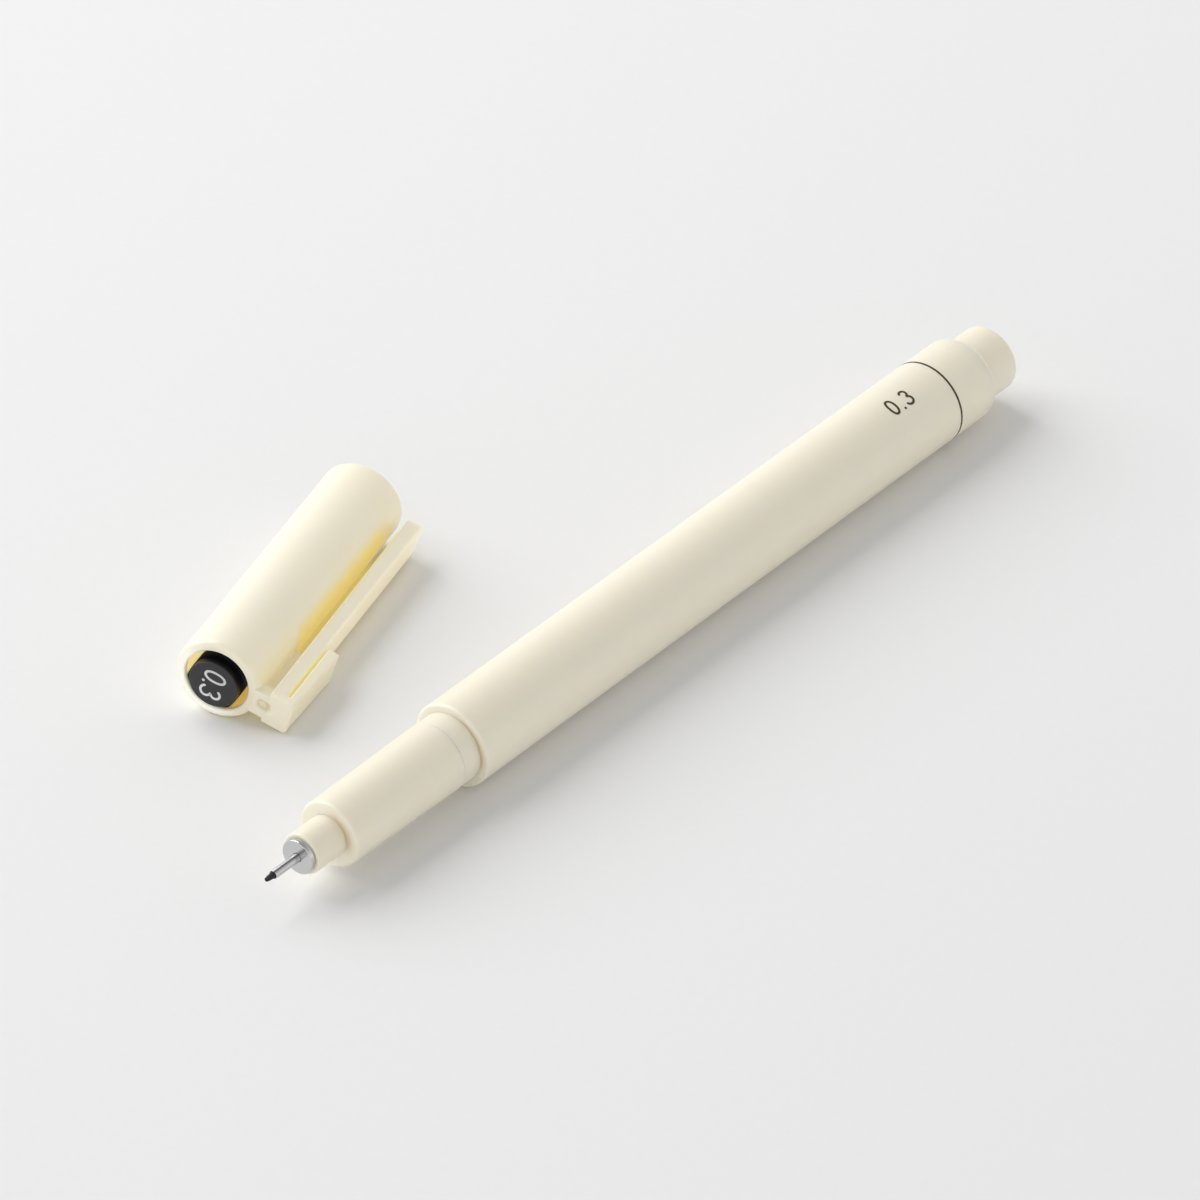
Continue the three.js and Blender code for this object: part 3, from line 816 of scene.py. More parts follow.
class ClipSizes(PropertyGroup):
    """Sizes of the clip: heights are above the cap's axis, lengths from its closed end."""

    inside: length_setting("Inside", "Height of the root's inner face", 6.4)
    tip_inside: length_setting("Tip inside", "Height of the tip's inner face", 6.15)
    thickness: length_setting("Arm thickness", "Thickness of the arm at its root", 1.7)
    length: length_setting("Arm length", "End of the arm", 37.7)
    width: length_setting("Width", "Width of the clip", 4.5)
    slit: length_setting("Slit", "Width of the slit", 0.35)
    slit_start: length_setting("Slit start", "Solid root in front of the slit", 1.2)
    tongue: length_setting("Tongue", "Thickness of the tongue", 1.05)
    tongue_length: length_setting("Tongue length", "End of the tongue", 11.5)
    flare: length_setting("Flare", "How much thicker the tongue is at its end", 0.35)
    edge: length_setting("Edge", "Rounding of the long edges", 0.24)
    corner: length_setting("Corner", "Rounding of the corners seen from the side", 0.38)
    tip_round: length_setting("Tip round", "Corner rounding of the arm's tip", 0.9)
    tongue_round: length_setting("Tongue round", "Corner rounding of the tongue's end", 0.5)
    bend: length_setting("Bend", "Length over which the clip bends from the cap", 10)


class PrintSizes(PropertyGroup):
    """The printed ring and the plain line width number."""

    ring_station: length_setting("Ring station", "Middle of the ring, from the point's tip", 118.94)
    ring_width: length_setting("Ring width", "Width of the ring", 0.29)
    film: length_setting("Print thickness", "How far the print stands out", 0.008, precision=6)
    barrel_station: length_setting("Number station", "Middle of the number's dot", 111.36)
    barrel_turn: turn_setting("Number turn", "Turn of the number's middle round the barrel", -20.2)
    barrel_height: length_setting("Number height", "Height of the digits' centre lines", 2.04)
    barrel_spread: length_setting("Number spread", "Dot to the middle of each digit", 1.36)
    barrel_stroke: length_setting("Number stroke", "Stroke width on the barrel", 0.31)
    plug_height: length_setting("Plug number height", "Height of the digits' centre lines", 2.46)
    plug_spread: length_setting("Plug number spread", "Dot to the middle of the zero", 1.12)
    plug_reach: length_setting("Plug number reach", "Dot to the middle of the three", 1.32)
    plug_stroke: length_setting("Plug number stroke", "Stroke width on the plug", 0.31)


class Finish(PropertyGroup):
    """Colours of the materials. A glow is the share of a tint that is painted as emitted light, standing in for
    light that comes through the plastic.
    """

    cream: tint_setting("Cream", "Plastic of the pen", (0.915, 0.845, 0.69))
    cream_drift: tint_setting("Cream drift", "Faint drift of the plastic's colour", (0.90, 0.825, 0.67))
    cream_depth: strength_setting("Cream depth", "How much light goes through the plastic", 0.35, max=1)
    # The cap's cream is partly its own plastic and partly painted light: it is paler than the pen's to stand in
    # for light through the thin wall. Its glow is a painted glow, an emission over the whole cap.
    cap_cream: tint_setting("Cap cream", "Paler plastic of the thin cap", (0.885, 0.845, 0.725))
    cap_painted_glow: tint_setting("Cap glow", "Light that comes through the cap's thin wall", (0.07, 0.052, 0.008))
    # Painted shade and painted glow in the open gap under the clip: the yellow tint stands in for shade and for
    # light through the plastic, and its glow is emitted.
    gap_painted_tint: tint_setting("Gap tint", "Plastic beside the open gap under the clip", (0.66, 0.558, 0.225))
    gap_painted_glow: strength_setting("Gap glow", "Glow beside the gap", 0.4)
    # Painted shade beside the web under the clip: the tan tint stands in for the shade the web casts, with a faint
    # painted glow.
    web_painted_tint: tint_setting("Web tint", "Plastic beside the web under the clip", (0.82, 0.75, 0.53))
    web_painted_glow: strength_setting("Web glow", "Glow at the web", 0.16)
    # Painted glow in the clip's slit, standing in for light through the plastic.
    slit_painted_tint: tint_setting("Slit tint", "Plastic in the clip's slit", (0.86, 0.80, 0.48))
    slit_painted_glow: strength_setting("Slit glow", "Glow in the slit", 0.2)
    # Painted glow on the outside of the clip's arm beyond the tongue, standing in for light through the plastic.
    back_painted_tint: tint_setting("Arm back tint", "Plastic on the outside of the clip's arm", (0.92, 0.84, 0.64))
    back_painted_glow: strength_setting("Arm back glow", "Glow of the clip's arm", 0.18)
    # Painted glow on the cap's side that faces the floor, standing in for light through the plastic; its emission
    # also lights the floor under the cap.
    under_painted_tint: tint_setting("Underside tint", "Plastic that faces the floor", (0.84, 0.66, 0.22))
    under_painted_glow: strength_setting("Underside glow", "Glow of the side that faces the floor", 0.5)
    # Painted shade in the pocket's recess, with a faint painted glow.
    pocket_painted_tint: tint_setting("Pocket tint", "Plastic in the pocket", (0.78, 0.71, 0.50))
    pocket_painted_glow: strength_setting("Pocket glow", "Glow in the pocket", 0.08)
    # Painted light round the plug on the side away from the lamp, standing in for light through the plastic.
    ring_painted_tint: tint_setting("End ring tint", "Plastic round the plug, on its shaded side", (0.88, 0.86, 0.78))
    ring_painted_glow: strength_setting("End ring glow", "Glow round the plug", 0.3)
    # Painted glow in the vents beside the plug, deeper beside the clip and paler in the farther vent, standing in
    # for light through the plastic.
    vent_painted_tint: tint_setting("Vent tint", "Plastic in the vent beside the clip", (0.67, 0.43, 0.10))
    pale_vent_painted_tint: tint_setting("Pale vent tint", "Plastic in the farther vent", (0.97, 0.82, 0.38))
    vent_painted_glow: strength_setting("Vent glow", "Glow in the vents", 0.75)
    step_tint: tint_setting("Step tint", "Shaded side of a step's face", (0.72, 0.58, 0.36))
    rim_tint: tint_setting("Rim tint", "Lit rim of a step", (0.95, 0.905, 0.78))
    black: tint_setting("Black", "Face of the end plug", (0.036, 0.036, 0.037))
    # Painted shade: the plug's sides are the same black plastic as its face, darkened to stand in for their shade.
    black_shaded_side: tint_setting("Black side", "Sides of the end plug", (0.003, 0.003, 0.004))
    steel: tint_setting("Steel", "Ferrule and tube", (0.62, 0.62, 0.62))
    ink: tint_setting("Ink", "Inked fibre", (0.02, 0.02, 0.024))
    film: tint_setting("Film", "Film round the ink reservoir", (0.75, 0.78, 0.8))
    dark_print: tint_setting("Dark print", "Print on the barrel", (0.078, 0.056, 0.028))
    light_print: tint_setting("Light print", "Print on the plug", (0.62, 0.62, 0.63))


class Studio(PropertyGroup):
    """Lamps, floor and camera."""

    overhead: strength_setting("Overhead", "Strength of the even light from straight above", 0.31)
    horizon: strength_setting("Horizon", "Strength of the even light from the sides", 1.08)
    key: strength_setting("Key", "Power of the large lamp", 14.2, unit="POWER")
    key_size: strength_setting("Key size", "Side of the large lamp", 1.3, unit="LENGTH")
    key_reach: place_setting("Key reach", "From the aim to the large lamp", (-0.1, 1.0, 0.9))
    floor: tint_setting("Floor", "Colour of the floor", (0.872, 0.872, 0.872))
    floor_reach: strength_setting("Floor reach", "Half of the floor's side", 3.0, unit="LENGTH")
    lens: strength_setting("Lens", "Focal length of the camera in millimetres", 317.1)
    eye: place_setting("Eye", "Camera position", (-0.76123, -0.630303, 0.70784))
    aim: place_setting("Aim", "Point that the camera looks at", (0.004045, -0.009913, 0.00014))


# Pen


class FINELINER_OT_barrel(Operator):
    """Builds the barrel's tube"""

    bl_idname = "fineliner.barrel"
    bl_label = "Barrel"

    def execute(self, context):
        pen = context.scene.fineliner_pen
        front, rear = stations("barrel")
        radius = half_height("barrel")
        bore = radius - pen.wall
        profile = [
            *arc(front + pen.lip, radius - pen.lip, pen.lip, 180, 90),
            *arc(rear - pen.rear_edge, radius - pen.rear_edge, pen.rear_edge, 90, 0, 5),
            (rear, bore),
            (front, bore),
        ]
        piece = turned("barrel_tube", profile, pen.sides)
        step = (front, half_height("section_collar"), radius, pen.lip)
        material = cream_plastic("barrel_plastic", step=step)
        set_down(piece, pen_place(), "pen", material, ["barrel"])
        return {"FINISHED"}


class FINELINER_OT_tail(Operator):
    """Builds the tail's shoulder, narrow end and spigot"""

    bl_idname = "fineliner.tail"
    bl_label = "Tail"

    def execute(self, context):
        pen = context.scene.fineliner_pen
        front = stations("barrel")[1]
        inner, rear = stations("tail_plug")
        flange = half_height("tail_plug")
        shoulder = rear - pen.stub_length
        run, drop = shoulder - front, flange - pen.stub_radius
        curve = (run**2 + drop**2) / (2 * drop)
        blend = 0.25 * MM
        fillet = blend * 1.5
        shoulder_end = math.degrees(math.acos((run - blend) / curve))
        spigot = half_height("barrel") - pen.wall - pen.seam
        spigot_wall, end_wall = 0.95 * MM, 3 * MM
        profile = [
            (rear - end_wall, 0),
            (rear - end_wall, spigot - spigot_wall),
            (inner, spigot - spigot_wall),
            (inner, spigot),
            (front, spigot),
            *arc(front, flange - curve, curve, 90, shoulder_end, 14),
            *arc(shoulder + blend, pen.stub_radius + fillet, fillet, 225, 270, 6),
            *arc(rear - pen.stub_edge, pen.stub_radius - pen.stub_edge, pen.stub_edge, 90, 0),
            (rear, 0),
        ]
        piece = turned("tail_end", profile, pen.sides)
        set_down(piece, pen_place(), "pen", cream_plastic("pen_plastic"), ["tail_plug"])
        return {"FINISHED"}


class FINELINER_OT_section(Operator):
    """Builds the collar and the grip section"""

    bl_idname = "fineliner.section"
    bl_label = "Collar and grip"

    def execute(self, context):
        pen = context.scene.fineliner_pen
        front, rear = stations("section_collar")
        radius = half_height("section_collar")
        shoulder = stations("barrel")[0]
        spigot = half_height("barrel") - pen.wall - pen.seam
        collar_wall = 0.6 * MM
        bore = spigot - collar_wall
        edge = pen.collar_edge
        profile = [
            *arc(front + edge, radius - edge, edge, 180, 90, 4),
            (shoulder, radius),
            (shoulder, spigot),
            (rear, spigot),
            (rear, bore),
            (front, bore),
        ]
        collar = turned("collar_ring", profile, pen.sides)
        material = cream_plastic("pen_plastic")
        set_down(collar, pen_place(), "pen", material, ["section_collar"])

        start, end = stations("grip_section")
        radius = half_height("grip_section")
        seam = front - 0.02 * MM
        hole = pen.nose_radius + 0.004 * MM
        seat, relief = 3.1 * MM, 0.3 * MM
        profile = [
            (start, hole),
            *arc(start + pen.grip_edge, pen.grip_front - pen.grip_edge, pen.grip_edge, 180, 90),
            (seam - edge, radius),
            (seam, radius - edge),
            (seam, bore - pen.seam),
            (end, bore - pen.seam),
            (end, hole + relief),
            (start + seat, hole + relief),
            (start + seat, hole),
        ]
        grip = turned("grip_sleeve", profile, pen.sides)
        step = (start, pen.nose_radius, pen.grip_front, pen.grip_edge)
        material = cream_plastic("grip_plastic", step=step)
        set_down(grip, pen_place(), "pen", material, ["grip_section"])
        return {"FINISHED"}


class FINELINER_OT_nose(Operator):
    """Builds the nose, the metal disc, the point's tube and the point"""

    bl_idname = "fineliner.nose"
    bl_label = "Nose and point"

    def execute(self, context):
        self.nose(context.scene.fineliner_pen)
        self.disc(context.scene.fineliner_pen)
        self.tube(context.scene.fineliner_pen)
        self.point(context.scene.fineliner_pen)
        return {"FINISHED"}

    def nose(self, pen):
        """The nose and the narrower tube behind it, with a slightly wider bore in its rear part."""
        front, rear = stations("nib_holder")
        radius, edge = pen.nose_radius, pen.nose_edge
        tube_radius, tube_start = 2.2 * MM, front + 6.7 * MM
        bore, wide_bore, wide_start = 1.15 * MM, 1.2 * MM, front + 6 * MM
        profile = [
            (front, bore),
            *arc(front + edge, radius - edge, edge, 180, 90),
            (tube_start, radius),
            (tube_start, tube_radius),
            (rear, tube_radius),
            (rear, wide_bore),
            (wide_start, wide_bore),
            (wide_start, bore),
        ]
        piece = turned("nose_holder", profile, pen.sides)
        set_down(piece, pen_place(), "pen", cream_plastic("pen_plastic"), ["nib_holder"])

    def disc(self, pen):
        """The metal disc and its stem."""
        front, rear = stations("nib_ferrule")
        radius, edge = half_height("nib_ferrule"), pen.disc_edge
        back = front + pen.disc_thickness
        stem = 1.1 * MM
        hole = half_height("nib_tube") + pen.seam
        profile = [
            (front, hole),
            *arc(front + edge, radius - edge, edge, 180, 90),
            *arc(back - edge, radius - edge, edge, 90, 0),
            (back, stem),
            (rear, stem),
            (rear, hole),
        ]
        piece = turned("ferrule_disc", profile, sides=96)
        set_down(piece, pen_place(), "pen", turned_steel("disc_steel", (0.1, 0.18)), ["nib_ferrule"])

    def tube(self, pen):
        """The metal tube round the point."""
        front, rear = stations("nib_tube")
        radius = half_height("nib_tube")
        bore = radius - pen.tube_wall
        lip = 0.04 * MM
        profile = [
            (front + lip, bore),
            (front, bore + lip),
            *arc(front + lip, radius - lip, lip, 180, 90, 3),
            (rear, radius),
            (rear, bore),
        ]
        piece = turned("point_tube", profile, sides=64)
        # The tube's steel carries a painted dark reflection along its upper side.
        material = turned_steel("tube_steel", (0.18, 0.26), reflection_streak=0.6)
        set_down(piece, pen_place(), "pen", material, ["nib_tube"])

    def point(self, pen):
        """The fibre point: a small round tip that widens in two steps to the tube's mouth."""
        rear = stations("nib_point")[1]
        mouth = stations("nib_tube")[0]
        tip, tip_flat = 0.19 * MM, 0.07 * MM
        profile = [
            (0, 0),
            *arc(tip, tip_flat, tip, 180, 100),
            (mouth * 0.45, pen.point_radius * 0.86),
            (mouth * 0.8, pen.point_radius * 0.98),
            (mouth, pen.point_radius),
            (rear, pen.point_radius),
            (rear, 0),
        ]
        piece = turned("fibre_point", profile, sides=48, sharp=60)
        material = inked_fibre("soaked_point", bpy.context.scene.fineliner_finish.ink, on_solid=False)
        set_down(piece, pen_place(), "pen", material, ["nib_point"])


class FINELINER_OT_ink_parts(Operator):
    """Gives the wick, the ink reservoir and its film their materials"""

    bl_idname = "fineliner.ink_parts"
    bl_label = "Ink parts"

    def execute(self, context):
        ink, paler = context.scene.fineliner_finish.ink, 1.4
        fibre = inked_fibre("soaked_fibre", [c * paler for c in ink], on_solid=True)
        finishes = {"feed_wick": fibre, "ink_reservoir": fibre, "reservoir_wrap": clear_film()}
        for node, material in finishes.items():
            for slot in frame["nodes"][node].material_slots:
                slot.material = material
        return {"FINISHED"}


# Cap


def pocket_cutter():
    """The blind pocket in the bridge's end face, as a solid to cut away."""
    half = POCKET_WIDTH / 2
    corners = ((-half, POCKET_LOW), (half, POCKET_LOW), (half, POCKET_HIGH), (-half, POCKET_HIGH))
    outline = rounded_outline([(*corner, POCKET_ROUNDING) for corner in corners])
    rings = []
    for depth, inset in POCKET_TAPER:
        rings.append([(depth * MM, p.x, p.y) for p in inset_outline(outline, inset * MM)])
    return loft("pocket", rings)


class FINELINER_OT_cap_tube(Operator):
    """Builds the cap's tube with the bridge and the web under the clip"""

    bl_idname = "fineliner.cap_tube"
    bl_label = "Cap tube"

    def execute(self, context):
        cap, clip = context.scene.fineliner_cap, context.scene.fineliner_clip
        radius, edge, lip, inner = cap.radius, cap.end_edge, cap.mouth_edge, cap.bore_edge
        profile = [
            (inner, cap.end_bore),
            (0, cap.end_bore + inner),
            *arc(edge, radius - edge, edge, 180, 90),
            *arc(cap.length - lip, radius - lip, lip, 90, 0),
            *arc(cap.length - inner, cap.bore + inner, inner, 0, -90, 4),
            (cap.end_bore_depth, cap.bore),
            (cap.end_bore_depth, cap.end_bore),
        ]
        tube = turned("cap_tube", profile, cap.sides)
        combine(tube, pocket_cutter(), "DIFFERENCE")
        half, root = cap.bridge_width / 2, radius - 0.6 * MM
        bridge = block("cap_bridge", (0, -half, root), (cap.bridge_thickness, half, clip.inside))
        combine(bridge, pocket_cutter(), "DIFFERENCE")
        web_start, web_top, web_edge = 0.4 * MM, clip.inside - 0.04 * MM, 0.12 * MM
        web = block("cap_web", (web_start, -half, root), (cap.web_length, cap.web_width - half, web_top))
        soften(web, web_edge)
        material = cream_plastic("cap_plastic", on_cap=True)
        for piece in (tube, bridge, web):
            set_down(piece, cap_place(), "cap", material, ["cap_shell"])
        return {"FINISHED"}


class FINELINER_OT_cap_clip(Operator):
    """Builds the clip's root, arm and tongue"""

    bl_idname = "fineliner.cap_clip"
    bl_label = "Clip"

    def execute(self, context):
        clip = context.scene.fineliner_clip
        outline, middle = self.side_outline(clip)
        end_zone = 1.5 * MM
        rings = []
        for distance, inset in self.levels(clip):
            ring = []
            for station, height in inset_outline(outline, inset):
                end, rounding = clip.tongue_length, clip.tongue_round
                if height < middle:
                    end, rounding = clip.length, clip.tip_round
                if station > end - end_zone:
                    station -= self.drawn_back(clip, abs(distance), rounding)
                ring.append((station, distance, height))
            rings.append(ring)
        piece = loft("clip_arm", rings)
        combine(piece, pocket_cutter(), "DIFFERENCE")
        place = cap_place()
        set_down(piece, place, None, cream_plastic("cap_plastic", on_cap=True), ["cap_clip"])
        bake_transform(piece)
        return {"FINISHED"}

    def side_outline(self, clip):
        """The clip seen from the side, and the height of the slit's middle."""
        arm_out = clip.inside + clip.thickness
        tongue_in = arm_out + clip.slit
        tongue_out = tongue_in + clip.tongue
        slit_round = clip.slit * 0.45
        corners = [
            (0, clip.inside, 0),
            (clip.length, clip.tip_inside, clip.corner),
            (clip.length, arm_out, clip.corner * 1.6),
            (clip.slit_start, arm_out, slit_round),
            (clip.slit_start, tongue_in, slit_round),
            (clip.tongue_length, tongue_in, clip.corner * 0.8),
            (clip.tongue_length, tongue_out + clip.flare, clip.corner),
            (0, tongue_out, clip.corner),
        ]
        return rounded_outline(corners), arm_out + clip.slit / 2

    def levels(self, clip, flat_steps=8, edge_steps=4):
        """Pairs of a distance from the clip's middle and the outline's inset there, from side to side."""
        half, edge = clip.width / 2, clip.edge
        start = half - max(clip.tip_round, clip.tongue_round)
        half_way = [(0.0, 0.0), (start, 0.0)]
        for k in range(1, flat_steps + 1):
            half_way.append((start + (half - edge - start) * k / flat_steps, 0.0))
        for k in range(1, edge_steps + 1):
            turn = math.radians(90 * k / edge_steps)
            half_way.append((half - edge + edge * math.sin(turn), edge * (1 - math.cos(turn))))
        return [(-distance, inset) for distance, inset in reversed(half_way[1:])] + half_way

    def drawn_back(self, clip, distance, rounding):
        """How far the rounded end lies back at this distance from the clip's middle."""
        over = max(0.0, distance - (clip.width / 2 - rounding))
        return rounding - math.sqrt(max(0.0, rounding**2 - over**2))


class FINELINER_OT_end_plug(Operator):
    """Builds the black plug with its flats, flange and sealing cup"""

    bl_idname = "fineliner.end_plug"
    bl_label = "End plug"

    def execute(self, context):
        cap = context.scene.fineliner_cap
        clearance, edge = 0.05 * MM, 0.12 * MM
        body = cap.end_bore - clearance
        rise, face, recess = cap.plug_rise, cap.plug_face, 0.4 * MM
        flange = cap.end_bore_depth + clearance
        flange_radius, flange_end = 4.3 * MM, flange + 1.15 * MM
        cup_radius, cup_bore, cup_floor, cup_end = 3.4 * MM, 2.62 * MM, 5.2 * MM, 15.8 * MM
        profile = [
            (-rise, 0),
            *arc(-rise + edge, face - edge, edge, 180, 90, 5),
            (recess, face),
            *arc(recess + edge, body - edge, edge, 180, 90, 5),
            (flange, body),
            (flange, flange_radius),
            (flange_end, flange_radius),
            (flange_end, cup_radius),
            (cup_end, cup_radius),
            (cup_end, cup_bore),
            (cup_floor, cup_bore),
            (cup_floor, 0),
        ]
        piece = turned("end_plug", profile, cap.sides)
        front, behind, wide = -5 * MM, 20 * MM, 5 * MM
        flats = loft("flats", [self.flatted(cap, station) for station in (front, flange)])
        rest = block("behind", (flange, -wide, -cap.plug_flats / 2), (behind, wide, cap.plug_flats / 2))
        combine(flats, rest, "UNION")
        combine(piece, flats, "INTERSECT")
        place = cap_place() @ Matrix.Rotation(cap.plug_turn, 4, "X")
        set_down(piece, place, "cap", black_plastic(), ["inner_cap"])
        return {"FINISHED"}

    def flatted(self, cap, station, sides=120, power=12, least=0.1):
        """A round outline with two flats. The higher the power, the sharper the corners between them."""
        ring = []
        for k in range(sides):
            turn = math.tau * k / sides
            flat = cap.plug_flats / 2 / max(abs(math.sin(turn)), least)
            reach = ((cap.end_bore / MM) ** -power + (flat / MM) ** -power) ** (-1 / power) * MM
            ring.append((station, reach * math.cos(turn), reach * math.sin(turn)))
        return ring


# Printed marks


def ellipse_arc(centre, wide, high, start, end, steps, power=1.0):
    """Points along an ellipse of those half axes, between two angles. A power under 1 squares it off."""
    points = []
    for k in range(steps + 1):
        turn = math.radians(start + (end - start) * k / steps)
        c, s = math.cos(turn), math.sin(turn)
        x = math.copysign(abs(c) ** power, c) * wide
        y = math.copysign(abs(s) ** power, s) * high
        points.append(Vector((centre[0] + x, centre[1] + y)))
    return points


def digit_strokes(height, spread, reach):
    """Centre lines of a plain zero, point and three, as (points, width share, closed) strokes.

    The zero lies spread before the point, and the three reach behind it."""
    half = height / 2
    # Each bowl of the three: middle, half width and half height as shares of half the height, and its sweep
    bowls = ((0.53, 0.46, 0.47, 150, -78, 18), (-0.47, 0.56, 0.53, 82, -152, 22))
    zero_width, dot_length, dot_share = 0.52, 0.005, 1.12
    bowls_middle = reach - half * 0.1
    zero = ellipse_arc((-spread, 0), half * zero_width, half, 0, 360, 48, power=0.9)
    dot = [Vector((0, -half)), Vector((0, -half * (1 - dot_length)))]
    three = []
    for middle, wide, high, start, end, steps in bowls:
        three += ellipse_arc((bowls_middle, half * middle), half * wide, half * high, start, end, steps)
    return (zero, 1.0, True), (dot, dot_share, False), (three, 1.0, False)


def stroke_side(path, closed, half, sign, end_steps=5):
    """One side of a stroke along the path. An open stroke has a quarter of a round end at each end of it."""
    quarter = [math.pi / 2 * k / end_steps for k in range(end_steps + 1)]
    last = len(path) - 1
    row = []
    for i, point in enumerate(path):
        before = path[i - 1] if closed or i > 0 else point
        after = path[(i + 1) % len(path)] if closed or i < last else point
        along = (after - before).normalized() * half
        side = Vector((-along.y, along.x)) * sign
        if closed or 0 < i < last:
            row.append(point + side)
        elif i == 0:
            row += [point - along * math.cos(turn) + side * math.sin(turn) for turn in quarter]
        else:
            row += [point + along * math.sin(turn) + side * math.cos(turn) for turn in quarter]
    return row


def ribbon(mesh_data, points, width, closed, wrap, film):
    """A flat raised stroke of that width along points, laid on a surface by wrap(x, y, height)."""
    path = points[:-1] if closed else points
    rows = [stroke_side(path, closed, width / 2, sign) for sign in (1, -1)]
    top = [[mesh_data.verts.new(wrap(p.x, p.y, film)) for p in row] for row in rows]
    low = [[mesh_data.verts.new(wrap(p.x, p.y, -film)) for p in row] for row in rows]
    count = len(rows[0])
    for i in range(count if closed else count - 1):
        j = (i + 1) % count
        mesh_data.faces.new((top[0][i], top[0][j], top[1][j], top[1][i]))
        mesh_data.faces.new((low[0][i], low[0][j], low[1][j], low[1][i]))
        for k in (0, 1):
            mesh_data.faces.new((top[k][i], top[k][j], low[k][j], low[k][i]))


def printed_number(name, height, spread, reach, stroke, wrap, film):
    """The plain line width number as raised strokes on a surface."""
    mesh_data = bmesh.new()
    for points, share, closed in digit_strokes(height, spread, reach):
        ribbon(mesh_data, points, stroke * share, closed, wrap, film)
    bmesh.ops.remove_doubles(mesh_data, verts=mesh_data.verts, dist=1e-7)
    return mesh_object(name, mesh_data, sharp=60)


class FINELINER_OT_prints(Operator):
    """Prints the ring and the plain line width number on the barrel, and the number on the plug"""

    bl_idname = "fineliner.prints"
    bl_label = "Printed marks"

    def execute(self, context):
        marks, cap = context.scene.fineliner_print, context.scene.fineliner_cap
        finish = context.scene.fineliner_finish
        dark = print_ink("dark_print", finish.dark_print)
        light = print_ink("light_print", finish.light_print)
        radius, film = half_height("barrel"), marks.film

        front = marks.ring_station - marks.ring_width / 2
        rear = marks.ring_station + marks.ring_width / 2
        low, high = radius - film, radius + film
        profile = [(front, low), (front, high), (rear, high), (rear, low)]
        ring = turned("printed_ring", profile, sides=192)
        set_down(ring, pen_place(), "pen", dark)

        def on_barrel(x, y, height):
            turn = marks.barrel_turn + y / radius
            reach = radius + height
            return (marks.barrel_station + x, reach * math.sin(turn), reach * math.cos(turn))

        sizes = (marks.barrel_height, marks.barrel_spread, marks.barrel_spread, marks.barrel_stroke)
        barrel_number = printed_number("barrel_number", *sizes, on_barrel, film)
        set_down(barrel_number, pen_place(), "pen", dark)

        def on_plug(x, y, height):
            return (-cap.plug_rise - height, -x, y)

        sizes = (marks.plug_height, marks.plug_spread, marks.plug_reach, marks.plug_stroke)
        plug_number = printed_number("plug_number", *sizes, on_plug, film)
        set_down(plug_number, cap_place(), "cap", light)
        return {"FINISHED"}


# Studio


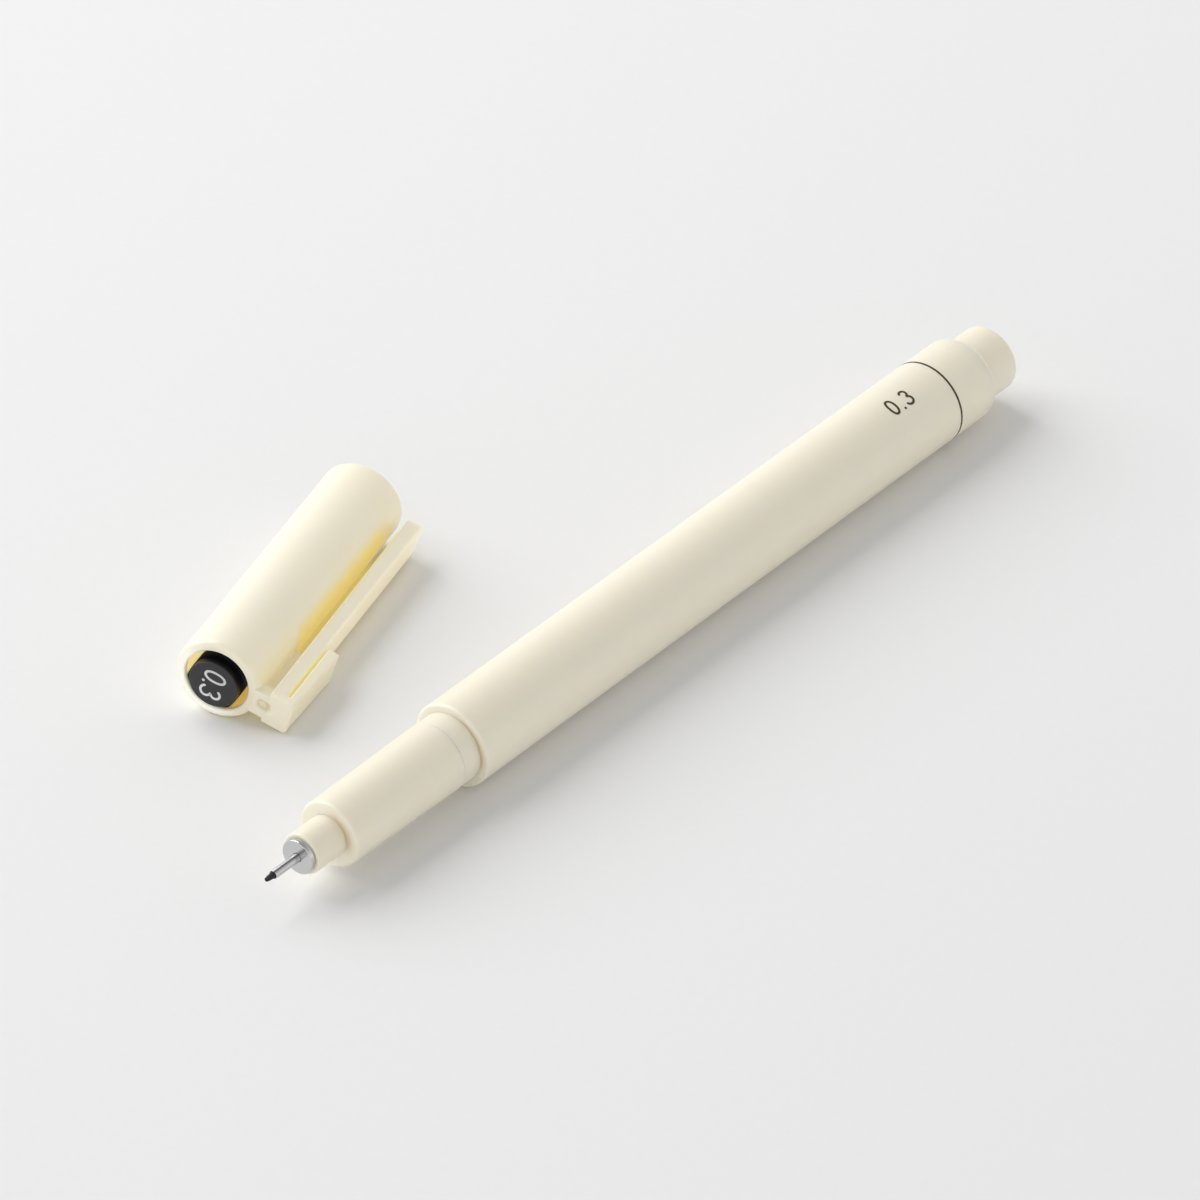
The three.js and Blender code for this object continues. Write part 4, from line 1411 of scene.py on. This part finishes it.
class FINELINER_OT_studio(Operator):
    """Sets up the floor, the lamps, the world and the camera"""

    bl_idname = "fineliner.studio"
    bl_label = "Studio"

    def execute(self, context):
        scene = context.scene
        scene.view_settings.view_transform = "Standard"
        self.floor(scene.fineliner_studio)
        self.world(scene, scene.fineliner_studio)
        self.lamp(scene, scene.fineliner_studio)
        self.camera(scene, scene.fineliner_studio)
        return {"FINISHED"}

    def floor(self, studio):
        """A wide sheet of matt paper with a faint grain."""
        mesh_data = bmesh.new()
        bmesh.ops.create_grid(mesh_data, x_segments=8, y_segments=8, size=studio.floor_reach)
        floor = mesh_object("floor", mesh_data)
        material, tree, shader = new_material("floor_paper")
        coordinates = tree.nodes.new("ShaderNodeTexCoord").outputs["Object"]
        grain = ramp(tree, noise(tree, coordinates, scale=900.0, detail=3.0), 0.2, 0.8)
        colour = blend_colours(tree, grain, opaque(studio.floor, 0.99), opaque(studio.floor))
        tree.links.new(colour, shader.inputs["Base Color"])
        shader.inputs["Roughness"].default_value = 0.9
        shader.inputs["Specular IOR Level"].default_value = 0.1
        floor.data.materials.append(material)

    def world(self, scene, studio):
        """Even light that fades from the horizon upwards. The camera sees the floor's colour instead."""
        world = bpy.data.worlds.new("studio_light")
        scene.world = world
        world.use_nodes = True
        sky = world.node_tree
        sky.nodes.clear()
        even = sky.nodes.new("ShaderNodeBackground")
        even.inputs["Color"].default_value = (1.0, 1.0, 1.0, 1.0)
        direction = sky.nodes.new("ShaderNodeTexCoord").outputs["Generated"]
        height = math_node(sky, "MAXIMUM", parts(sky, direction)[2], 0.0)
        change = studio.overhead - studio.horizon
        sky.links.new(math_node(sky, "MULTIPLY_ADD", height, change, studio.horizon), even.inputs["Strength"])
        seen = sky.nodes.new("ShaderNodeBackground")
        seen.inputs["Color"].default_value = opaque(studio.floor)
        seen.inputs["Strength"].default_value = 1.0
        mix = sky.nodes.new("ShaderNodeMixShader")
        sky.links.new(sky.nodes.new("ShaderNodeLightPath").outputs["Is Camera Ray"], mix.inputs[0])
        sky.links.new(even.outputs[0], mix.inputs[1])
        sky.links.new(seen.outputs[0], mix.inputs[2])
        sky.links.new(mix.outputs[0], sky.nodes.new("ShaderNodeOutputWorld").inputs["Surface"])

    def lamp(self, scene, studio):
        """One large lamp behind and above the pen."""
        aim = Vector(studio.aim)
        lamp = bpy.data.lights.new("key_light", "AREA")
        lamp.shape, lamp.size, lamp.energy = "SQUARE", studio.key_size, studio.key
        key = bpy.data.objects.new("key_light", lamp)
        key.location = aim + Vector(studio.key_reach)
        key.rotation_mode = "QUATERNION"
        key.rotation_quaternion = (key.location - aim).to_track_quat("Z", "Y")
        scene.collection.objects.link(key)

    def camera(self, scene, studio):
        """The camera that fits the outlines in the photograph."""
        camera_data = bpy.data.cameras.new("camera")
        camera_data.lens, camera_data.sensor_width = studio.lens, 36.0
        camera_data.clip_start, camera_data.clip_end = 0.01, 20.0
        camera = bpy.data.objects.new("camera", camera_data)
        camera.location = Vector(studio.eye)
        camera.rotation_mode = "QUATERNION"
        camera.rotation_quaternion = (Vector(studio.aim) - camera.location).to_track_quat("-Z", "Y")
        scene.collection.objects.link(camera)
        scene.camera = camera


class FINELINER_PT_pieces(Panel):
    """Lists the pieces and their settings"""

    bl_label = "Fineliner"
    bl_space_type = "VIEW_3D"
    bl_region_type = "UI"
    bl_category = "Fineliner"

    def draw(self, context):
        for operator in OPERATORS:
            self.layout.operator(operator.bl_idname)
        for name, group in SETTINGS.items():
            box = self.layout.box()
            box.label(text=name.replace("_", " ").capitalize())
            for label in group.__annotations__:
                box.prop(getattr(context.scene, name), label)


OPERATORS = (
    FINELINER_OT_barrel,
    FINELINER_OT_tail,
    FINELINER_OT_section,
    FINELINER_OT_nose,
    FINELINER_OT_ink_parts,
    FINELINER_OT_cap_tube,
    FINELINER_OT_cap_clip,
    FINELINER_OT_end_plug,
    FINELINER_OT_prints,
    FINELINER_OT_studio,
)
SETTINGS = {
    "fineliner_pen": PenSizes,
    "fineliner_cap": CapSizes,
    "fineliner_clip": ClipSizes,
    "fineliner_print": PrintSizes,
    "fineliner_finish": Finish,
    "fineliner_studio": Studio,
}


def register():
    for group in (*SETTINGS.values(), *OPERATORS, FINELINER_PT_pieces):
        bpy.utils.register_class(group)
    for name, group in SETTINGS.items():
        setattr(bpy.types.Scene, name, PointerProperty(type=group))


def unregister():
    for name in SETTINGS:
        delattr(bpy.types.Scene, name)
    for group in reversed((*SETTINGS.values(), *OPERATORS, FINELINER_PT_pieces)):
        bpy.utils.unregister_class(group)


def main():
    register()
    bpy.ops.fineliner.barrel()
    bpy.ops.fineliner.tail()
    bpy.ops.fineliner.section()
    bpy.ops.fineliner.nose()
    bpy.ops.fineliner.ink_parts()
    bpy.ops.fineliner.cap_tube()
    bpy.ops.fineliner.cap_clip()
    bpy.ops.fineliner.end_plug()
    bpy.ops.fineliner.prints()
    bpy.ops.fineliner.studio()


if __name__ == "__main__":
    main()
